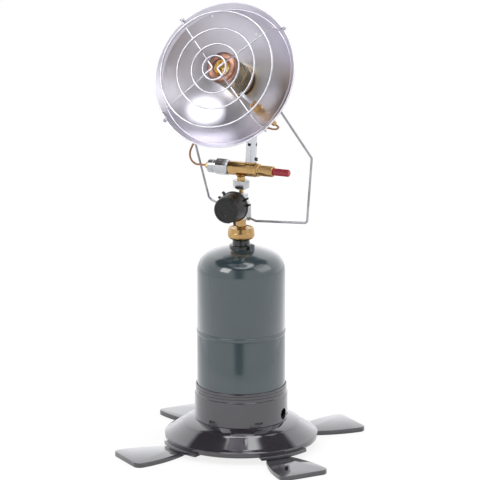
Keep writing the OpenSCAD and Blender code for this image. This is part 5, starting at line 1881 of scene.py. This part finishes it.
@dataclass
class Studio:
    """Floor, surroundings, lamps and camera."""

    camera_at: tuple[float, float, float] = (1.6104, -3.5336, 1.2074)
    camera_turn: tuple[float, float, float] = (75.95, 0.0, 24.5)
    lens: float = 270.27
    sensor: float = 36.0
    shift: float = -0.00246
    clip: tuple[float, float] = (0.1, 60.0)
    aim_z: float = 0.25
    floor_half: float = 9.0
    floor_colour: Colour = (0.82, 0.82, 0.83)
    floor_rough: float = 0.9
    glow_colour: Colour = (1.0, 0.995, 0.99)
    glow: float = 1.05
    paleness: float = 0.8
    mirrored: float = 0.25
    room_colour: Colour = (0.965, 0.97, 1.0)
    wall_top: tuple[float, float] = (0.70, 0.76)
    camera_side: float = 0.09
    dark_width: tuple[float, float] = (0.10, 0.30)
    dark_depth: tuple[float, float] = (-0.70, -0.45)
    darkness: float = 0.88
    levels: tuple[float, float] = (0.07, 0.97)
    rear_span: tuple[float, float] = (0.0, 0.5)
    rear_gain: float = 1.35
    overhead: tuple[float, float, float] = (0.03, -0.17, 0.985)
    canopy_edge: tuple[float, float] = (0.32, 0.38)
    canopy: float = 3.6
    boxes: tuple[Softbox, ...] = (
        Softbox("softbox_left", -50, 40, 2.2, 0.9, 11), Softbox("softbox_right", 76, 42, 2.4, 1.6, 10),
    )

    def floor(self) -> None:
        """Makes the pale floor, which keeps the object's shadow."""
        bm = bmesh.new()
        bmesh.ops.create_grid(bm, x_segments=4, y_segments=4, size=self.floor_half)
        mesh = bpy.data.meshes.new("floor")
        bm.to_mesh(mesh)
        bm.free()
        floor = bpy.data.objects.new("floor", mesh)
        bpy.context.scene.collection.objects.link(floor)
        material = bpy.data.materials.new("floor_paper")
        material.use_nodes = True
        tree = material.node_tree
        shader = tree.nodes["Principled BSDF"]
        shader.inputs["Base Color"].default_value = (*self.floor_colour, 1)
        shader.inputs["Roughness"].default_value = self.floor_rough
        glow = add_node(tree, "Emission", {"Color": (*self.glow_colour, 1), "Strength": self.glow})
        rays = add_node(tree, "LightPath", {}).outputs
        mirrored = worked_out(tree, "MULTIPLY", rays["Is Glossy Ray"], self.mirrored)
        passed = worked_out(tree, "MAXIMUM", rays["Is Transmission Ray"], mirrored)
        seen = worked_out(tree, "MAXIMUM", rays["Is Camera Ray"], passed)
        share = worked_out(tree, "MULTIPLY", seen, self.paleness)
        blend = add_node(tree, "MixShader", {0: share, 1: shader.outputs[0], 2: glow.outputs[0]})
        tree.links.new(blend.outputs[0], tree.nodes["Material Output"].inputs[0])
        mesh.materials.append(material)

    def surroundings(self) -> None:
        """Makes a pale room with a bright canopy in a dark ceiling and a dark place round the camera."""
        world = bpy.data.worlds.new("studio_room")
        bpy.context.scene.world = world
        world.use_nodes = True
        tree = world.node_tree
        back = tree.nodes["Background"]
        way = add_node(tree, "TexCoord", {}).outputs["Generated"]
        turning = {"Vector": way, "Angle": math.radians(-self.camera_turn[2])}
        turn = add_node(tree, "VectorRotate", turning, rotation_type="Z_AXIS").outputs[0]
        across, along, up = add_node(tree, "SeparateXYZ", {0: turn}).outputs
        wall = ramp(tree, up, self.wall_top, (1.0, 0.0))
        aside = worked_out(tree, "ABSOLUTE", worked_out(tree, "ADD", across, self.camera_side))
        middle = ramp(tree, aside, self.dark_width, (1.0, 0.0))
        near = ramp(tree, along, self.dark_depth, (self.darkness, 0.0))
        front = worked_out(tree, "SUBTRACT", 1.0, worked_out(tree, "MULTIPLY", middle, near))
        room = ramp(tree, worked_out(tree, "MULTIPLY", wall, front), (0.0, 1.0), self.levels)
        away = add_node(tree, "VectorMath", {0: turn, 1: self.overhead}, operation="DISTANCE")
        canopy = ramp(tree, away.outputs["Value"], self.canopy_edge, (self.canopy, 0.0))
        rear = ramp(tree, along, self.rear_span, (1.0, self.rear_gain))
        light = worked_out(tree, "MAXIMUM", worked_out(tree, "MULTIPLY", room, rear), canopy)
        rays = add_node(tree, "LightPath", {}).outputs
        tree.links.new(worked_out(tree, "MAXIMUM", light, rays["Is Camera Ray"]), back.inputs["Strength"])
        back.inputs["Color"].default_value = (*self.room_colour, 1)

    def lamp(self, box: Softbox) -> None:
        """Adds a softbox that faces the heater.

        Args:
            box: The softbox.
        """
        light = bpy.data.lights.new(box.name, "AREA")
        light.shape = "SQUARE"
        light.size = box.wide
        light.energy = box.power
        a, e = math.radians(self.camera_turn[2] + box.azimuth), math.radians(box.height)
        way = Vector((math.sin(a) * math.cos(e), -math.cos(a) * math.cos(e), math.sin(e)))
        lamp = bpy.data.objects.new(box.name, light)
        lamp.location = Vector((0, 0, self.aim_z)) + way * box.far
        lamp.rotation_euler = way.to_track_quat("Z", "Y").to_euler()
        bpy.context.scene.collection.objects.link(lamp)

    def camera(self) -> None:
        """Makes the camera at the viewing angle."""
        data = bpy.data.cameras.new("camera")
        data.sensor_width = self.sensor
        data.lens = self.lens
        data.shift_x = self.shift
        data.clip_start, data.clip_end = self.clip
        camera = bpy.data.objects.new("camera", data)
        camera.location = self.camera_at
        camera.rotation_euler = [math.radians(v) for v in self.camera_turn]
        bpy.context.scene.collection.objects.link(camera)
        bpy.context.scene.camera = camera

    def make(self) -> None:
        """Builds the studio."""
        bpy.context.scene.view_settings.view_transform = "Standard"
        self.camera()
        self.floor()
        self.surroundings()
        for box in self.boxes:
            self.lamp(box)


def main() -> None:
    """Builds the heater's visual model round the frame."""
    logging.basicConfig(level=logging.INFO, format="%(name)s: %(message)s")
    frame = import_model()
    bench = Bench(frame)
    Studio().make()
    body = (Base(), Legs(), GasCylinder(), Regulator(), SafetyValve())
    head = (MixingTube(), Burner(), Reflector(), Wires())
    for part in body + head:
        part.make(bench)
    LOG.info("%d pieces", bench.count)


if __name__ == "__main__":
    main()
